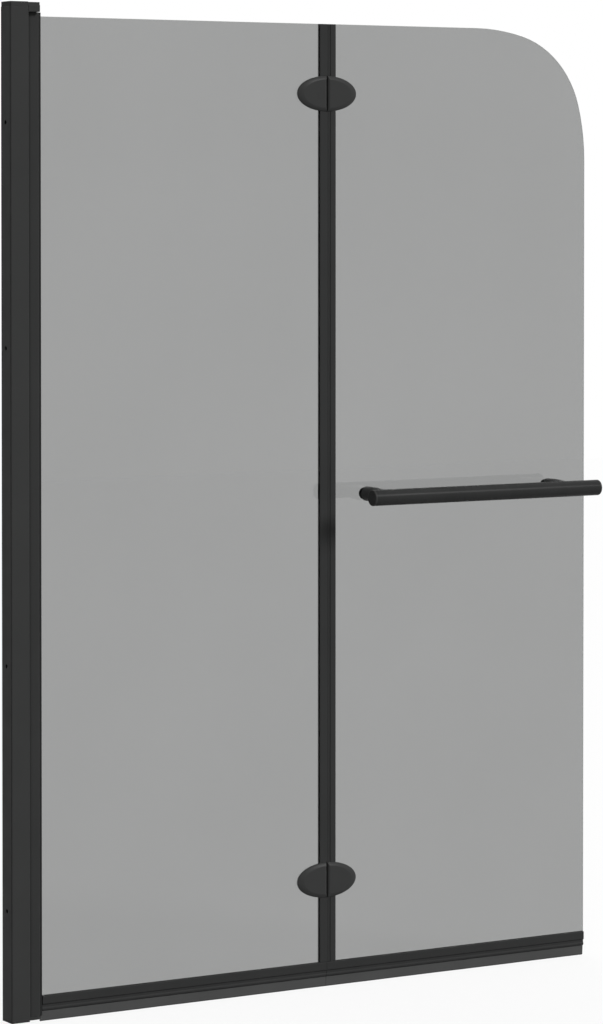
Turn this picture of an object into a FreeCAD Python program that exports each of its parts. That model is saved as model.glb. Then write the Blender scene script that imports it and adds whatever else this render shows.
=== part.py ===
import FreeCAD, Part
import math
import os

import Sketcher

# A folding bath screen of two glass panes, hung on a wall channel, with a towel rail on the outer pane.
# X runs from the wall face of the channel along the closed screen, Y from the rail side to the folding
# side with zero in the middle of the glass, and Z up with zero at half the height. Millimetres throughout.

SIZES = {
    # whole screen
    "screen_height": 1400,
    "screen_width": 964,
    "fold_reach": 512.2,
    "cut_overrun": 1,
    # wall channel and the adjuster that slides in it
    "channel_depth": 30,
    "channel_reach": 28,
    "channel_web": 1.8,
    "channel_flange": 1.6,
    "channel_corner": 2,
    "channel_lip_corner": 0.7,
    "wall_hole_diameter": 6,
    "outer_hole_drop": 165,
    "inner_hole_drop": 474,
    "inner_hole_rise": 490,
    "outer_hole_rise": 153,
    "adjuster_start": 12,
    "adjuster_proud": 0.2,
    "adjuster_wall": 1.8,
    "adjuster_corner": 0.8,
    "slide_clearance": 0.2,
    "lock_screw_diameter": 4,
    "lock_head_diameter": 8,
    "lock_head_height": 2.4,
    "lock_head_edge": 0.8,
    "lock_screw_inset": 220,
    "lock_screw_end": 2.5,
    "screw_socket_diameter": 3.4,
    "screw_socket_depth": 1.2,
    # end caps that carry the wall pivot
    "cap_height": 7,
    "cap_corner": 2,
    "cap_inset": 0.4,
    "ear_reach": 10.5,
    "ear_corner": 1.5,
    "ear_step": 0.6,
    "ear_height": 13.2,
    "ear_plate": 4,
    "ear_roof": 3,
    "foot_height": 4,
    "foot_ear_reach": 14.5,
    "plug_depth": 12,
    "plug_clearance": 0.3,
    "foot_pin_rise": 0.3,
    # stile that turns on the wall pivot and holds the inner glass
    "stile_radius": 7,
    "stile_reach": 12.2,
    "stile_gap": 0.3,
    "stile_bore_diameter": 8,
    "stile_edge": 1.2,
    "slot_wall": 1.5,
    "gasket_wall": 1.3,
    "gasket_lip": 4.7,
    "gasket_lip_edge": 0.8,
    "pivot_pin_diameter": 6,
    "pivot_pin_depth": 14,
    "pivot_pin_edge": 0.6,
    "bush_length": 10,
    "bush_flange_diameter": 10,
    "bush_flange": 0.8,
    "bush_proud": 0.2,
    "running_clearance": 0.05,
    "press_clearance": 0.02,
    "end_play": 0.1,
    # glass panes
    "glass_thickness": 5,
    "glass_top_drop": 19.5,
    "glass_bottom_rise": 20,
    "inner_glass_gap": 1.2,
    "outer_glass_gap": 6.85,
    "corner_reach": 193.3,
    "corner_entry_radius": 313.4,
    "corner_entry_angle": 15.2,
    "glass_foot_corner": 3,
    # oval fold hinges
    "upper_hinge_drop": 119.1,
    "lower_hinge_rise": 150.3,
    "cover_half_width": 49.2,
    "cover_half_height": 25.4,
    "leaf_half_width": 42,
    "leaf_half_height": 22,
    "hinge_split": 1.6,
    "hinge_pad": 0.8,
    "cover_rim": 1.6,
    "cover_face": 4.5,
    "cover_roll": 5,
    "cover_roll_rise": 0.05,
    "cover_crown": 7.2,
    "leaf_rim": 4.6,
    "leaf_face": 7,
    "leaf_crown": 12,
    "fold_offset": 11,
    "knuckle_radius": 5.5,
    "knuckle_half_span": 21,
    "middle_half_span": 8,
    "knuckle_gap": 0.3,
    "knuckle_relief": 0.4,
    "hinge_pin_diameter": 5,
    "hinge_pin_edge": 0.5,
    "hinge_pin_proud": 0.6,
    "hinge_bush_wall": 1,
    "hinge_screw_x": 25,
    "hinge_screw_z": 10.5,
    "hinge_screw_diameter": 4,
    "hinge_head_diameter": 8,
    "hinge_head_height": 2.2,
    "hinge_head_edge": 0.5,
    "hinge_head_seat": 3.4,
    "hinge_screw_length": 8.5,
    "hinge_tap_depth": 9.5,
    "hole_clearance": 0.2,
    "boss_diameter": 11,
    "boss_clearance": 0.5,
    "boss_end_gap": 0.3,
    # upright seals along the fold
    "fold_clip_half_depth": 4,
    "fold_clip_reach": 10.1,
    "fold_clip_floor": 2.8,
    "fold_clip_corner": 0.5,
    "stop_clip_reach": 8.05,
    "stop_clip_floor": 1.1,
    "stop_clip_corner": 1.5,
    "clip_clearance": 0.15,
    "bulb_half_depth": 3.7,
    "bulb_corner": 2.4,
    "bulb_wall": 0.9,
    "bulb_gap": 0.3,
    "fold_seal_foot": 0.3,
    "seal_hinge_gap": 0.2,
    # bottom seals: a clip on the glass and a wiper hung in its bead
    "clip_grip": 11.4,
    "clip_half_depth": 4.6,
    "clip_lip_corner": 1.2,
    "clip_leg_foot": 0.3,
    "clip_waist": 2.9,
    "bead_drop": 6.8,
    "bead_radius": 3.6,
    "bead_bore_radius": 2.1,
    "bead_mouth": 1.4,
    "wiper_clearance": 0.15,
    "wiper_shoulder_drop": 10.8,
    "wiper_half_depth": 1.7,
    "wiper_tip_half_depth": 1,
    "wiper_overhang": 4.2,
    "bottom_seal_start": 0.3,
    "bottom_seal_split": 0.4,
    # towel rail
    "rail_rise": 4.2,
    "rail_inner_margin": 23,
    "rail_outer_margin": 27,
    "rail_diameter": 23,
    "rail_wall": 2,
    "rail_standoff": 75,
    "post_inset": 38.8,
    "post_base_diameter": 21,
    "post_base_length": 22,
    "post_taper_length": 30,
    "post_neck_diameter": 16.5,
    "post_base_edge": 0.8,
    "rail_cap_flange": 3,
    "rail_cap_edge": 2,
    "rail_cap_spigot": 8,
    "rail_cap_clearance": 0.1,
    "stud_diameter": 6,
    "stud_clearance": 0.1,
    "stud_in_bar": 0.8,
    "stud_in_nut": 5,
    "rail_glass_hole_diameter": 10,
    "grommet_flange": 1,
    "grommet_spigot": 2.2,
    "grommet_clearance": 0.1,
    "nut_diameter": 17,
    "nut_height": 6,
    "nut_edge": 2,
}

doc = FreeCAD.newDocument("BathScreen")
sheet = doc.addObject("Spreadsheet::Sheet", "Sizes")
for row, (alias, number) in enumerate(SIZES.items(), start=1):
    sheet.set(f"A{row}", alias)
    sheet.set(f"B{row}", str(number))
    sheet.setAlias(f"B{row}", alias)
doc.recompute()


class Dim:
    """A length that knows its value and the expression that ties it to the sheet."""

    def __init__(self, value, text):
        self.value = value
        self.text = text

    def __add__(self, other):
        other = as_dim(other)
        return Dim(self.value + other.value, f"({self.text} + {other.text})")

    def __sub__(self, other):
        other = as_dim(other)
        return Dim(self.value - other.value, f"({self.text} - {other.text})")

    def __mul__(self, other):
        other = as_dim(other)
        return Dim(self.value * other.value, f"({self.text} * {other.text})")

    def __truediv__(self, other):
        other = as_dim(other)
        return Dim(self.value / other.value, f"({self.text} / {other.text})")

    def __neg__(self):
        return Dim(-self.value, f"(-1 * {self.text})")

    __radd__ = __add__
    __rmul__ = __mul__


def as_dim(number):
    """A plain number as a Dim, or the Dim itself."""
    return number if isinstance(number, Dim) else Dim(number, repr(number))


def size(alias):
    """The named cell of the sheet."""
    return Dim(SIZES[alias], f"Sizes.{alias}")


def root(dim):
    """Square root of a Dim."""
    return Dim(math.sqrt(dim.value), f"sqrt({dim.text})")


def sine(dim):
    """Sine of an angle in degrees."""
    return Dim(math.sin(math.radians(dim.value)), f"sin({dim.text})")


def cosine(dim):
    """Cosine of an angle in degrees."""
    return Dim(math.cos(math.radians(dim.value)), f"cos({dim.text})")


def other_side(hypotenuse, side):
    """The third side of a right triangle."""
    return root(hypotenuse * hypotenuse - side * side)


def bind(feature, path, dim):
    """Ties one property of a feature to the sheet."""
    feature.setExpression(path, as_dim(dim).text)


def place(feature, x=0, y=0, z=0):
    """Ties the position of a feature to the sheet."""
    bind(feature, "Placement.Base.x", x)
    bind(feature, "Placement.Base.y", y)
    bind(feature, "Placement.Base.z", z)
    return feature


NODES = []


def node(feature, label):
    """Names a finished piece, which is written to a file of that name."""
    feature.Label = label
    NODES.append(feature)
    return feature


# sketches

def new_sketch(body, plane, offset=0):
    """A sketch on one of the body's own origin planes, moved along the plane's normal."""
    sketch = body.newObject("Sketcher::SketchObject", "Sketch")
    support = next(item for item in body.Origin.OriginFeatures if item.Role == plane)
    sketch.AttachmentSupport = [(support, "")]
    sketch.MapMode = "FlatFace"
    bind(sketch, "AttachmentOffset.Base.z", offset)
    return sketch


def dimension(sketch, kind, target, dim):
    """One driving dimension of a sketch, tied to the sheet."""
    index = sketch.addConstraint(Sketcher.Constraint(kind, *target, dim.value))
    bind(sketch, f"Constraints[{index}]", dim)


def fix_point(sketch, geometry, end, x, y):
    """Holds one end of a line or arc, or a circle's centre, at x and y from the sketch origin."""
    dimension(sketch, "DistanceX", (-1, 1, geometry, end), as_dim(x))
    dimension(sketch, "DistanceY", (-1, 1, geometry, end), as_dim(y))


def add_circle(sketch, x, y, radius):
    """A circle held at its centre and radius."""
    x, y = as_dim(x), as_dim(y)
    centre = FreeCAD.Vector(x.value, y.value, 0)
    index = sketch.addGeometry(Part.Circle(centre, FreeCAD.Vector(0, 0, 1), radius.value), False)
    fix_point(sketch, index, 3, x, y)
    dimension(sketch, "Radius", (index,), radius)


def arc_between(start, end, radius, turn):
    """Arc of under half a circle from start to end, turning left (+1) or right (-1)."""
    chord = end - start
    half = chord.Length / 2
    height = math.sqrt(max(radius * radius - half * half, 0))
    left = FreeCAD.Vector(-chord.y, chord.x, 0).normalize()
    centre = (start + end) / 2 + left * (height * turn)
    first, last = (start, end) if turn > 0 else (end, start)
    begin = math.atan2(first.y - centre.y, first.x - centre.x)
    finish = math.atan2(last.y - centre.y, last.x - centre.x)
    circle = Part.Circle(centre, FreeCAD.Vector(0, 0, 1), radius)
    return Part.ArcOfCircle(circle, begin, finish if finish > begin else finish + 2 * math.pi)


def add_outline(sketch, points):
    """A closed outline. A point is (x, y), or (x, y, radius, turn) where an arc leads to the next point."""
    corners = [FreeCAD.Vector(as_dim(point[0]).value, as_dim(point[1]).value, 0) for point in points]
    edges = []
    for index, point in enumerate(points):
        start, end = corners[index], corners[(index + 1) % len(points)]
        if len(point) == 2:
            edge = sketch.addGeometry(Part.LineSegment(start, end), False)
            edges.append((edge, 1, 2))
        else:
            radius, turn = point[2], point[3]
            edge = sketch.addGeometry(arc_between(start, end, radius.value, turn), False)
            edges.append((edge, 1, 2) if turn > 0 else (edge, 2, 1))
    joins = []
    for index, (edge, first, last) in enumerate(edges):
        following, next_first, next_last = edges[(index + 1) % len(edges)]
        joins.append(Sketcher.Constraint("Coincident", edge, last, following, next_first))
    sketch.addConstraint(joins)
    for point, (edge, first, last) in zip(points, edges):
        fix_point(sketch, edge, first, point[0], point[1])
        if len(point) == 4:
            dimension(sketch, "Radius", (edge,), point[2])


LEFT = 1
RIGHT = -1


def rounded_box(left, right, half, left_corner, right_corner):
    """Points of a box from left to right, half to each side, with rounded corners."""
    return [
        (left + left_corner, -half),
        (right - right_corner, -half, right_corner, LEFT),
        (right, right_corner - half),
        (right, half - right_corner, right_corner, LEFT),
        (right - right_corner, half),
        (left + left_corner, half, left_corner, LEFT),
        (left, half - left_corner),
        (left, left_corner - half, left_corner, LEFT),
    ]


# solids

def new_body(name):
    """An empty body."""
    return doc.addObject("PartDesign::Body", name)


def pad(body, sketch, length, reverse=False):
    """Pushes a sketch out along its normal, or the other way."""
    feature = body.newObject("PartDesign::Pad", "Pad")
    feature.Profile = sketch
    feature.Reversed = reverse
    bind(feature, "Length", length)
    return feature


def pocket(body, sketch, length):
    """Cuts a sketch along its normal, and makes sure that the cut took material away."""
    doc.recompute()
    before = body.Shape.Volume
    feature = body.newObject("PartDesign::Pocket", "Pocket")
    feature.Profile = sketch
    feature.Reversed = True
    bind(feature, "Length", length)
    doc.recompute()
    if not body.Shape.Volume < before:
        raise RuntimeError(f"a pocket of {body.Name} cuts nothing")
    return feature


def upright(name, outlines, bottom, top, circles=()):
    """A body extruded along Z from outlines and circles in the XY plane."""
    body = new_body(name)
    sketch = new_sketch(body, "XY_Plane", bottom)
    for outline in outlines:
        add_outline(sketch, outline)
    for circle in circles:
        add_circle(sketch, *circle)
    pad(body, sketch, top - bottom)
    return body


def lengthwise(name, outlines, start, end, circles=()):
    """A body extruded along X from outlines and circles in the YZ plane."""
    body = new_body(name)
    sketch = new_sketch(body, "YZ_Plane", start)
    for outline in outlines:
        add_outline(sketch, outline)
    for circle in circles:
        add_circle(sketch, *circle)
    pad(body, sketch, end - start)
    return body


def turned(name, axis, profile, x=0, y=0, z=0):
    """A body turned about the X, Y or Z direction through the given place.

    A point of the profile is (along, radius), or (along, radius, arc radius, turn).
    """
    body = new_body(name)
    sketch = new_sketch(body, "XZ_Plane" if axis == "Z" else "XY_Plane")
    if axis == "X":
        add_outline(sketch, profile)
    else:
        swapped = [(point[1], point[0]) + tuple(point[2:3]) + tuple(-turn for turn in point[3:])
                   for point in profile]
        add_outline(sketch, swapped)
    feature = body.newObject("PartDesign::Revolution", "Revolution")
    feature.Profile = sketch
    feature.ReferenceAxis = (sketch, ["H_Axis" if axis == "X" else "V_Axis"])
    feature.Angle = 360
    return place(body, x, y, z)


TURN = {
    "X": FreeCAD.Rotation(FreeCAD.Vector(0, 1, 0), 90),
    "Y": FreeCAD.Rotation(FreeCAD.Vector(1, 0, 0), -90),
    "Z": FreeCAD.Rotation(),
}


def cylinder(axis, radius, length, x=0, y=0, z=0):
    """A cylinder that starts at the given place and runs along X, Y or Z."""
    feature = doc.addObject("Part::Cylinder", "Cylinder")
    feature.Placement = FreeCAD.Placement(FreeCAD.Vector(), TURN[axis])
    bind(feature, "Radius", radius)
    bind(feature, "Height", length)
    return place(feature, x, y, z)


def block(x, y, z):
    """A box between pairs of X, Y and Z."""
    feature = doc.addObject("Part::Box", "Box")
    bind(feature, "Length", x[1] - x[0])
    bind(feature, "Width", y[1] - y[0])
    bind(feature, "Height", z[1] - z[0])
    return place(feature, x[0], y[0], z[0])


def oval_prism(half_width, half_height, start, end, x=0, z=0):
    """An upright oval in the XZ plane, pushed along Y from start to end."""
    oval = doc.addObject("Part::Ellipse", "Oval")
    oval.Placement = FreeCAD.Placement(FreeCAD.Vector(), FreeCAD.Rotation(FreeCAD.Vector(1, 0, 0), 90))
    bind(oval, "MajorRadius", half_width)
    bind(oval, "MinorRadius", half_height)
    place(oval, x, start, z)
    prism = doc.addObject("Part::Extrusion", "OvalPrism")
    prism.Base = oval
    prism.DirMode = "Custom"
    prism.Dir = FreeCAD.Vector(0, 1, 0)
    prism.Solid = True
    bind(prism, "LengthFwd", end - start)
    return prism


def ellipsoid(x_radius, y_radius, z_radius, y):
    """An ellipsoid centred on the Y axis."""
    feature = doc.addObject("Part::Ellipsoid", "Dome")
    feature.Angle1 = -90
    feature.Angle2 = 90
    feature.Angle3 = 360
    bind(feature, "Radius1", z_radius)
    bind(feature, "Radius2", x_radius)
    bind(feature, "Radius3", y_radius)
    return place(feature, 0, y, 0)


def common(*shapes):
    """What all the shapes share."""
    feature = doc.addObject("Part::MultiCommon", "Common")
    feature.Shapes = list(shapes)
    return feature


def fuse(*shapes):
    """The shapes joined to one solid."""
    feature = doc.addObject("Part::MultiFuse", "Fusion")
    feature.Shapes = list(shapes)
    feature.Refine = True
    return feature


def cut(base, *tools):
    """The base without the tools."""
    feature = doc.addObject("Part::Cut", "Cut")
    feature.Base = base
    feature.Tool = tools[0] if len(tools) == 1 else fuse(*tools)
    return feature


def group(label, pieces):
    """Like pieces kept as separate solids of one node."""
    feature = doc.addObject("Part::Compound", "Group")
    feature.Links = list(pieces)
    return node(feature, label)


# levels and lines that several pieces share

OVERRUN = size("cut_overrun")
HALF_HEIGHT = size("screen_height") / 2
CHANNEL_TOP = HALF_HEIGHT - size("cap_height")
FOOT_TOP = size("foot_height") - HALF_HEIGHT
EAR_TOP = HALF_HEIGHT - size("ear_step")
EAR_BOTTOM = EAR_TOP - size("ear_height")
STILE_TOP = EAR_BOTTOM - size("end_play") - size("bush_proud")
STILE_BOTTOM = FOOT_TOP + size("end_play") + size("bush_proud")
BUSH_RECESS = size("bush_flange") - size("bush_proud")
PIN_SEAT_TOP = EAR_TOP - size("ear_roof")
GLASS_TOP = HALF_HEIGHT - size("glass_top_drop")
GLASS_BOTTOM = size("glass_bottom_rise") - HALF_HEIGHT
CHANNEL_HALF = size("channel_depth") / 2
ADJUSTER_HALF = CHANNEL_HALF - size("channel_flange") - size("slide_clearance")
ADJUSTER_END = size("channel_reach") + size("adjuster_proud")
PIVOT_X = ADJUSTER_END + size("stile_gap") + size("stile_radius")
STILE_END = PIVOT_X + size("stile_reach")
EAR_END = PIVOT_X + size("ear_reach")
FOOT_EAR_END = PIVOT_X + size("foot_ear_reach")
GLASS_HALF = size("glass_thickness") / 2
SLOT_HALF = GLASS_HALF + size("gasket_wall")
SLOT_FLOOR = size("stile_bore_diameter") / 2 + size("slot_wall")
INNER_GLASS_LEFT = PIVOT_X + SLOT_FLOOR + size("gasket_wall")
INNER_GLASS_RIGHT = size("fold_reach") - size("inner_glass_gap")
OUTER_GLASS_LEFT = size("fold_reach") + size("outer_glass_gap")
HINGE_LEVELS = {"upper": HALF_HEIGHT - size("upper_hinge_drop"), "lower": size("lower_hinge_rise") - HALF_HEIGHT}
HINGE_SCREW_LEVELS = (-size("hinge_screw_z"), size("hinge_screw_z"))
BOSS_HOLE = size("boss_diameter") / 2 + size("boss_clearance")
RAIL_START = OUTER_GLASS_LEFT + size("rail_inner_margin")
RAIL_END = size("screen_width") - size("rail_outer_margin")
RAIL_Y = -GLASS_HALF - size("rail_standoff")
RAIL_Z = size("rail_rise")
POSTS = {"inner": RAIL_START + size("post_inset"), "outer": RAIL_END - size("post_inset")}
LOCK_SCREW_TOP = HALF_HEIGHT - size("lock_screw_inset")
LOCK_SCREW_LEVELS = (-LOCK_SCREW_TOP, as_dim(0), LOCK_SCREW_TOP)
LOCK_SCREW_X = (size("adjuster_start") + ADJUSTER_END) / 2


# wall channel, adjuster and lock screws

def wall_channel():
    """U-shaped extrusion with its web on the wall, four holes in the web and three in the back flange."""
    half, reach, web = CHANNEL_HALF, size("channel_reach"), size("channel_web")
    inside, corner, lip = half - size("channel_flange"), size("channel_corner"), size("channel_lip_corner")
    outline = [
        (corner, -half),
        (reach - lip, -half, lip, LEFT),
        (reach, lip - half),
        (reach, -inside),
        (web, -inside),
        (web, inside),
        (reach, inside),
        (reach, half - lip, lip, LEFT),
        (reach - lip, half),
        (corner, half, corner, LEFT),
        (as_dim(0), half - corner),
        (as_dim(0), corner - half, corner, LEFT),
    ]
    body = upright("WallChannel", [outline], FOOT_TOP, CHANNEL_TOP)
    wall_holes = new_sketch(body, "YZ_Plane", -OVERRUN)
    levels = [HALF_HEIGHT - size("outer_hole_drop"), HALF_HEIGHT - size("inner_hole_drop")]
    levels += [size("inner_hole_rise") - HALF_HEIGHT, size("outer_hole_rise") - HALF_HEIGHT]
    for level in levels:
        add_circle(wall_holes, 0, level, size("wall_hole_diameter") / 2)
    pocket(body, wall_holes, web + OVERRUN * 2)
    lock_holes = new_sketch(body, "XZ_Plane", -(half + OVERRUN))
    for level in LOCK_SCREW_LEVELS:
        add_circle(lock_holes, LOCK_SCREW_X, level, size("lock_screw_diameter") / 2 + size("hole_clearance"))
    pocket(body, lock_holes, size("channel_flange") + OVERRUN * 2)
    return node(body, "wall_channel")


def adjuster_profile():
    """Inner extrusion that slides in the channel, with its web closing the channel's mouth."""
    half, wall, corner = ADJUSTER_HALF, size("adjuster_wall"), size("adjuster_corner")
    start, end = size("adjuster_start"), ADJUSTER_END
    outline = [
        (start, -half),
        (end - corner, -half, corner, LEFT),
        (end, corner - half),
        (end, half - corner, corner, LEFT),
        (end - corner, half),
        (start, half),
        (start, half - wall),
        (end - wall, half - wall),
        (end - wall, wall - half),
        (start, wall - half),
    ]
    body = upright("AdjusterProfile", [outline], FOOT_TOP, CHANNEL_TOP)
    lock_holes = new_sketch(body, "XZ_Plane", -(half + OVERRUN))
    for level in LOCK_SCREW_LEVELS:
        radius = size("lock_screw_diameter") / 2 + size("running_clearance")
        add_circle(lock_holes, LOCK_SCREW_X, level, radius)
    pocket(body, lock_holes, wall + OVERRUN * 2)
    return node(body, "adjuster_profile")


def socket_screw(name, seat, head, head_height, head_edge, shank, length, x, z):
    """Round-headed screw along Y with its head's underside at seat and a hexagonal socket in the head."""
    top = seat + head_height
    profile = [
        (top, as_dim(0)),
        (top, head / 2 - head_edge),
        (top - head_edge, head / 2),
        (seat, head / 2),
        (seat, shank / 2),
        (seat - length, shank / 2),
        (seat - length, as_dim(0)),
    ]
    body = turned(name, "Y", profile, x, 0, z)
    socket = new_sketch(body, "XZ_Plane", -(top + OVERRUN))
    corner = size("screw_socket_diameter") / 2
    flat = corner * root(as_dim(3)) / 2
    add_outline(socket, [
        (corner, as_dim(0)),
        (corner / 2, flat),
        (-corner / 2, flat),
        (-corner, as_dim(0)),
        (-corner / 2, -flat),
        (corner / 2, -flat),
    ])
    pocket(body, socket, size("screw_socket_depth") + OVERRUN)
    return body


def lock_screws():
    """Three screws through the back flange that hold the adjuster where it was set."""
    length = size("channel_flange") + size("slide_clearance") + size("adjuster_wall") + size("lock_screw_end")
    screws = []
    for level in LOCK_SCREW_LEVELS:
        screw = socket_screw(
            "LockScrew", CHANNEL_HALF, size("lock_head_diameter"), size("lock_head_height"),
            size("lock_head_edge"), size("lock_screw_diameter"), length, LOCK_SCREW_X, level)
        screws.append(screw)
    return group("lock_screws", screws)


# wall pivot: caps, pins, bushes and the stile

def ear_outline():
    """Flat-sided ear from the adjuster to just past the stile, with a round tip."""
    half = size("stile_radius")
    tip = FOOT_EAR_END - half
    return [
        (ADJUSTER_END, -half),
        (tip, -half, half, LEFT),
        (FOOT_EAR_END, as_dim(0), half, LEFT),
        (tip, half),
        (ADJUSTER_END, half),
    ]


def ear_block_outline():
    """Block as deep as the channel, from the adjuster to the ear's end."""
    half, corner = CHANNEL_HALF, size("ear_corner")
    return [
        (ADJUSTER_END, -half),
        (EAR_END - corner, -half, corner, LEFT),
        (EAR_END, corner - half),
        (EAR_END, half - corner, corner, LEFT),
        (EAR_END - corner, half),
        (ADJUSTER_END, half),
    ]


def plug_outline():
    """Plug that fills the hollow of the channel and the adjuster."""
    gap = size("plug_clearance")
    half = ADJUSTER_HALF - size("adjuster_wall") - gap
    left, right = size("channel_web") + gap, ADJUSTER_END - size("adjuster_wall") - gap
    return [(left, -half), (right, -half), (right, half), (left, half)]


def add_pad(body, outline, bottom, top):
    """Adds an outline in the XY plane to a body, between two levels."""
    sketch = new_sketch(body, "XY_Plane", bottom)
    add_outline(sketch, outline)
    pad(body, sketch, top - bottom)


def bore_pin_hole(body, bottom, top):
    """Bores the seat of a pivot pin in a cap, between two levels."""
    sketch = new_sketch(body, "XY_Plane", bottom)
    add_circle(sketch, PIVOT_X, 0, size("pivot_pin_diameter") / 2 + size("press_clearance"))
    pocket(body, sketch, top - bottom)


def top_pivot_cap():
    """Cap over the channel with the deep ear that holds the upper pin, its edge drawn in above the seam."""
    inset, corner = size("cap_inset"), size("channel_corner")
    left, half = as_dim(0) + inset, CHANNEL_HALF - inset
    plate = rounded_box(left, EAR_END - inset, half, corner, size("ear_corner"))
    body = upright("TopPivotCap", [plate], CHANNEL_TOP, EAR_TOP)
    add_pad(body, rounded_box(left, ADJUSTER_END, half, corner, size("cap_corner")), EAR_TOP, HALF_HEIGHT)
    add_pad(body, ear_block_outline(), EAR_BOTTOM, EAR_TOP - size("ear_plate"))
    add_pad(body, plug_outline(), CHANNEL_TOP - size("plug_depth"), CHANNEL_TOP)
    bore_pin_hole(body, EAR_BOTTOM - OVERRUN, PIN_SEAT_TOP)
    return node(body, "top_pivot_cap")


def bottom_pivot_cap():
    """Foot under the channel with the narrow ear that holds the lower pin."""
    foot = rounded_box(as_dim(0), ADJUSTER_END, CHANNEL_HALF, size("channel_corner"), size("cap_corner"))
    body = upright("BottomPivotCap", [foot], -HALF_HEIGHT, FOOT_TOP)
    add_pad(body, ear_outline(), -HALF_HEIGHT, FOOT_TOP)
    add_pad(body, plug_outline(), FOOT_TOP, FOOT_TOP + size("plug_depth"))
    bore_pin_hole(body, -HALF_HEIGHT - OVERRUN, FOOT_TOP + OVERRUN)
    return node(body, "bottom_pivot_cap")


def pivot_pin(label, name, bottom, top):
    """Round steel pin on the wall pivot axis with chamfered ends."""
    radius, edge = size("pivot_pin_diameter") / 2, size("pivot_pin_edge")
    profile = [
        (bottom, as_dim(0)),
        (bottom, radius - edge),
        (bottom + edge, radius),
        (top - edge, radius),
        (top, radius - edge),
        (top, as_dim(0)),
    ]
    return node(turned(name, "Z", profile, PIVOT_X), label)


def pivot_bush(label, name, seat, direction):
    """Flanged nylon bush pressed into the stile's bore, its flange sunk in the end on the side of direction."""
    inside = size("pivot_pin_diameter") / 2 + size("running_clearance")
    outside = size("stile_bore_diameter") / 2 - size("press_clearance")
    flange_face = seat + size("bush_flange") * direction
    flange = size("bush_flange_diameter") / 2
    far_end = seat - size("bush_length") * direction
    profile = [
        (far_end, inside),
        (far_end, outside),
        (seat, outside),
        (seat, flange),
        (flange_face, flange),
        (flange_face, inside),
    ]
    return node(turned(name, "Z", profile, PIVOT_X), label)


def stile():
    """Glass profile with a round nose about the pivot, a bore through the nose and a slot for the pane."""
    radius, reach, edge = size("stile_radius"), size("stile_reach"), size("stile_edge")
    outline = [
        (as_dim(0), -radius),
        (reach - edge, -radius, edge, LEFT),
        (reach, edge - radius),
        (reach, -SLOT_HALF),
        (SLOT_FLOOR, -SLOT_HALF),
        (SLOT_FLOOR, SLOT_HALF),
        (reach, SLOT_HALF),
        (reach, radius - edge, edge, LEFT),
        (reach - edge, radius),
        (as_dim(0), radius, radius, LEFT),
        (-radius, as_dim(0), radius, LEFT),
    ]
    bore = (0, 0, size("stile_bore_diameter") / 2)
    body = upright("Stile", [outline], STILE_BOTTOM, STILE_TOP, [bore])
    seat = size("bush_flange_diameter") / 2 + size("running_clearance")
    for start in (STILE_BOTTOM - OVERRUN, STILE_TOP - BUSH_RECESS):
        sketch = new_sketch(body, "XY_Plane", start)
        add_circle(sketch, 0, 0, seat)
        pocket(body, sketch, BUSH_RECESS + OVERRUN)
    return node(place(body, PIVOT_X), "stile")


def glazing_gasket():
    """U-shaped rubber that lines the stile's slot and grips the inner pane, its lips standing out."""
    reach, floor = size("stile_reach") + size("gasket_lip"), SLOT_FLOOR + size("gasket_wall")
    edge = size("gasket_lip_edge")
    outline = [
        (SLOT_FLOOR, -SLOT_HALF),
        (reach - edge, -SLOT_HALF),
        (reach, edge - SLOT_HALF),
        (reach, -GLASS_HALF),
        (floor, -GLASS_HALF),
        (floor, GLASS_HALF),
        (reach, GLASS_HALF),
        (reach, SLOT_HALF - edge),
        (reach - edge, SLOT_HALF),
        (SLOT_FLOOR, SLOT_HALF),
    ]
    body = upright("GlazingGasket", [outline], STILE_BOTTOM, STILE_TOP)
    return node(place(body, PIVOT_X), "glazing_gasket")


# glass panes

def pane(name, outline, holes):
    """Sheet of glass from an outline and holes in the XZ plane."""
    body = new_body(name)
    sketch = new_sketch(body, "XZ_Plane", -GLASS_HALF)
    add_outline(sketch, outline)
    for hole in holes:
        add_circle(sketch, *hole)
    pad(body, sketch, size("glass_thickness"))
    return body


def hinge_holes(side):
    """Holes for the hinge bosses on one side of the fold."""
    x = size("fold_reach") + size("hinge_screw_x") * side
    return [(x, level + offset, BOSS_HOLE)
            for level in HINGE_LEVELS.values() for offset in HINGE_SCREW_LEVELS]


def inner_glass():
    """Pane between the stile and the fold."""
    outline = [
        (INNER_GLASS_LEFT, GLASS_BOTTOM),
        (INNER_GLASS_RIGHT, GLASS_BOTTOM),
        (INNER_GLASS_RIGHT, GLASS_TOP),
        (INNER_GLASS_LEFT, GLASS_TOP),
    ]
    return node(pane("InnerGlass", outline, hinge_holes(-1)), "inner_glass")


def outer_glass():
    """Pane beyond the fold, its free top corner drawn by three tangent arcs, wide, tight and wide."""
    right, reach, wide = size("screen_width"), size("corner_reach"), size("corner_entry_radius")
    angle, foot = size("corner_entry_angle"), size("glass_foot_corner")
    tight = wide - (wide - reach) / (cosine(angle) - sine(angle))
    near = wide - wide * cosine(angle)
    far = reach - wide * sine(angle)
    outline = [
        (OUTER_GLASS_LEFT, GLASS_BOTTOM),
        (right - foot, GLASS_BOTTOM, foot, LEFT),
        (right, GLASS_BOTTOM + foot),
        (right, GLASS_TOP - reach, wide, LEFT),
        (right - near, GLASS_TOP - far, tight, LEFT),
        (right - far, GLASS_TOP - near, wide, LEFT),
        (right - reach, GLASS_TOP),
        (OUTER_GLASS_LEFT, GLASS_TOP),
    ]
    rail_holes = [(x, RAIL_Z, size("rail_glass_hole_diameter") / 2) for x in POSTS.values()]
    return node(pane("OuterGlass", outline, hinge_holes(1) + rail_holes), "outer_glass")


# upright seals along the fold

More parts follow.
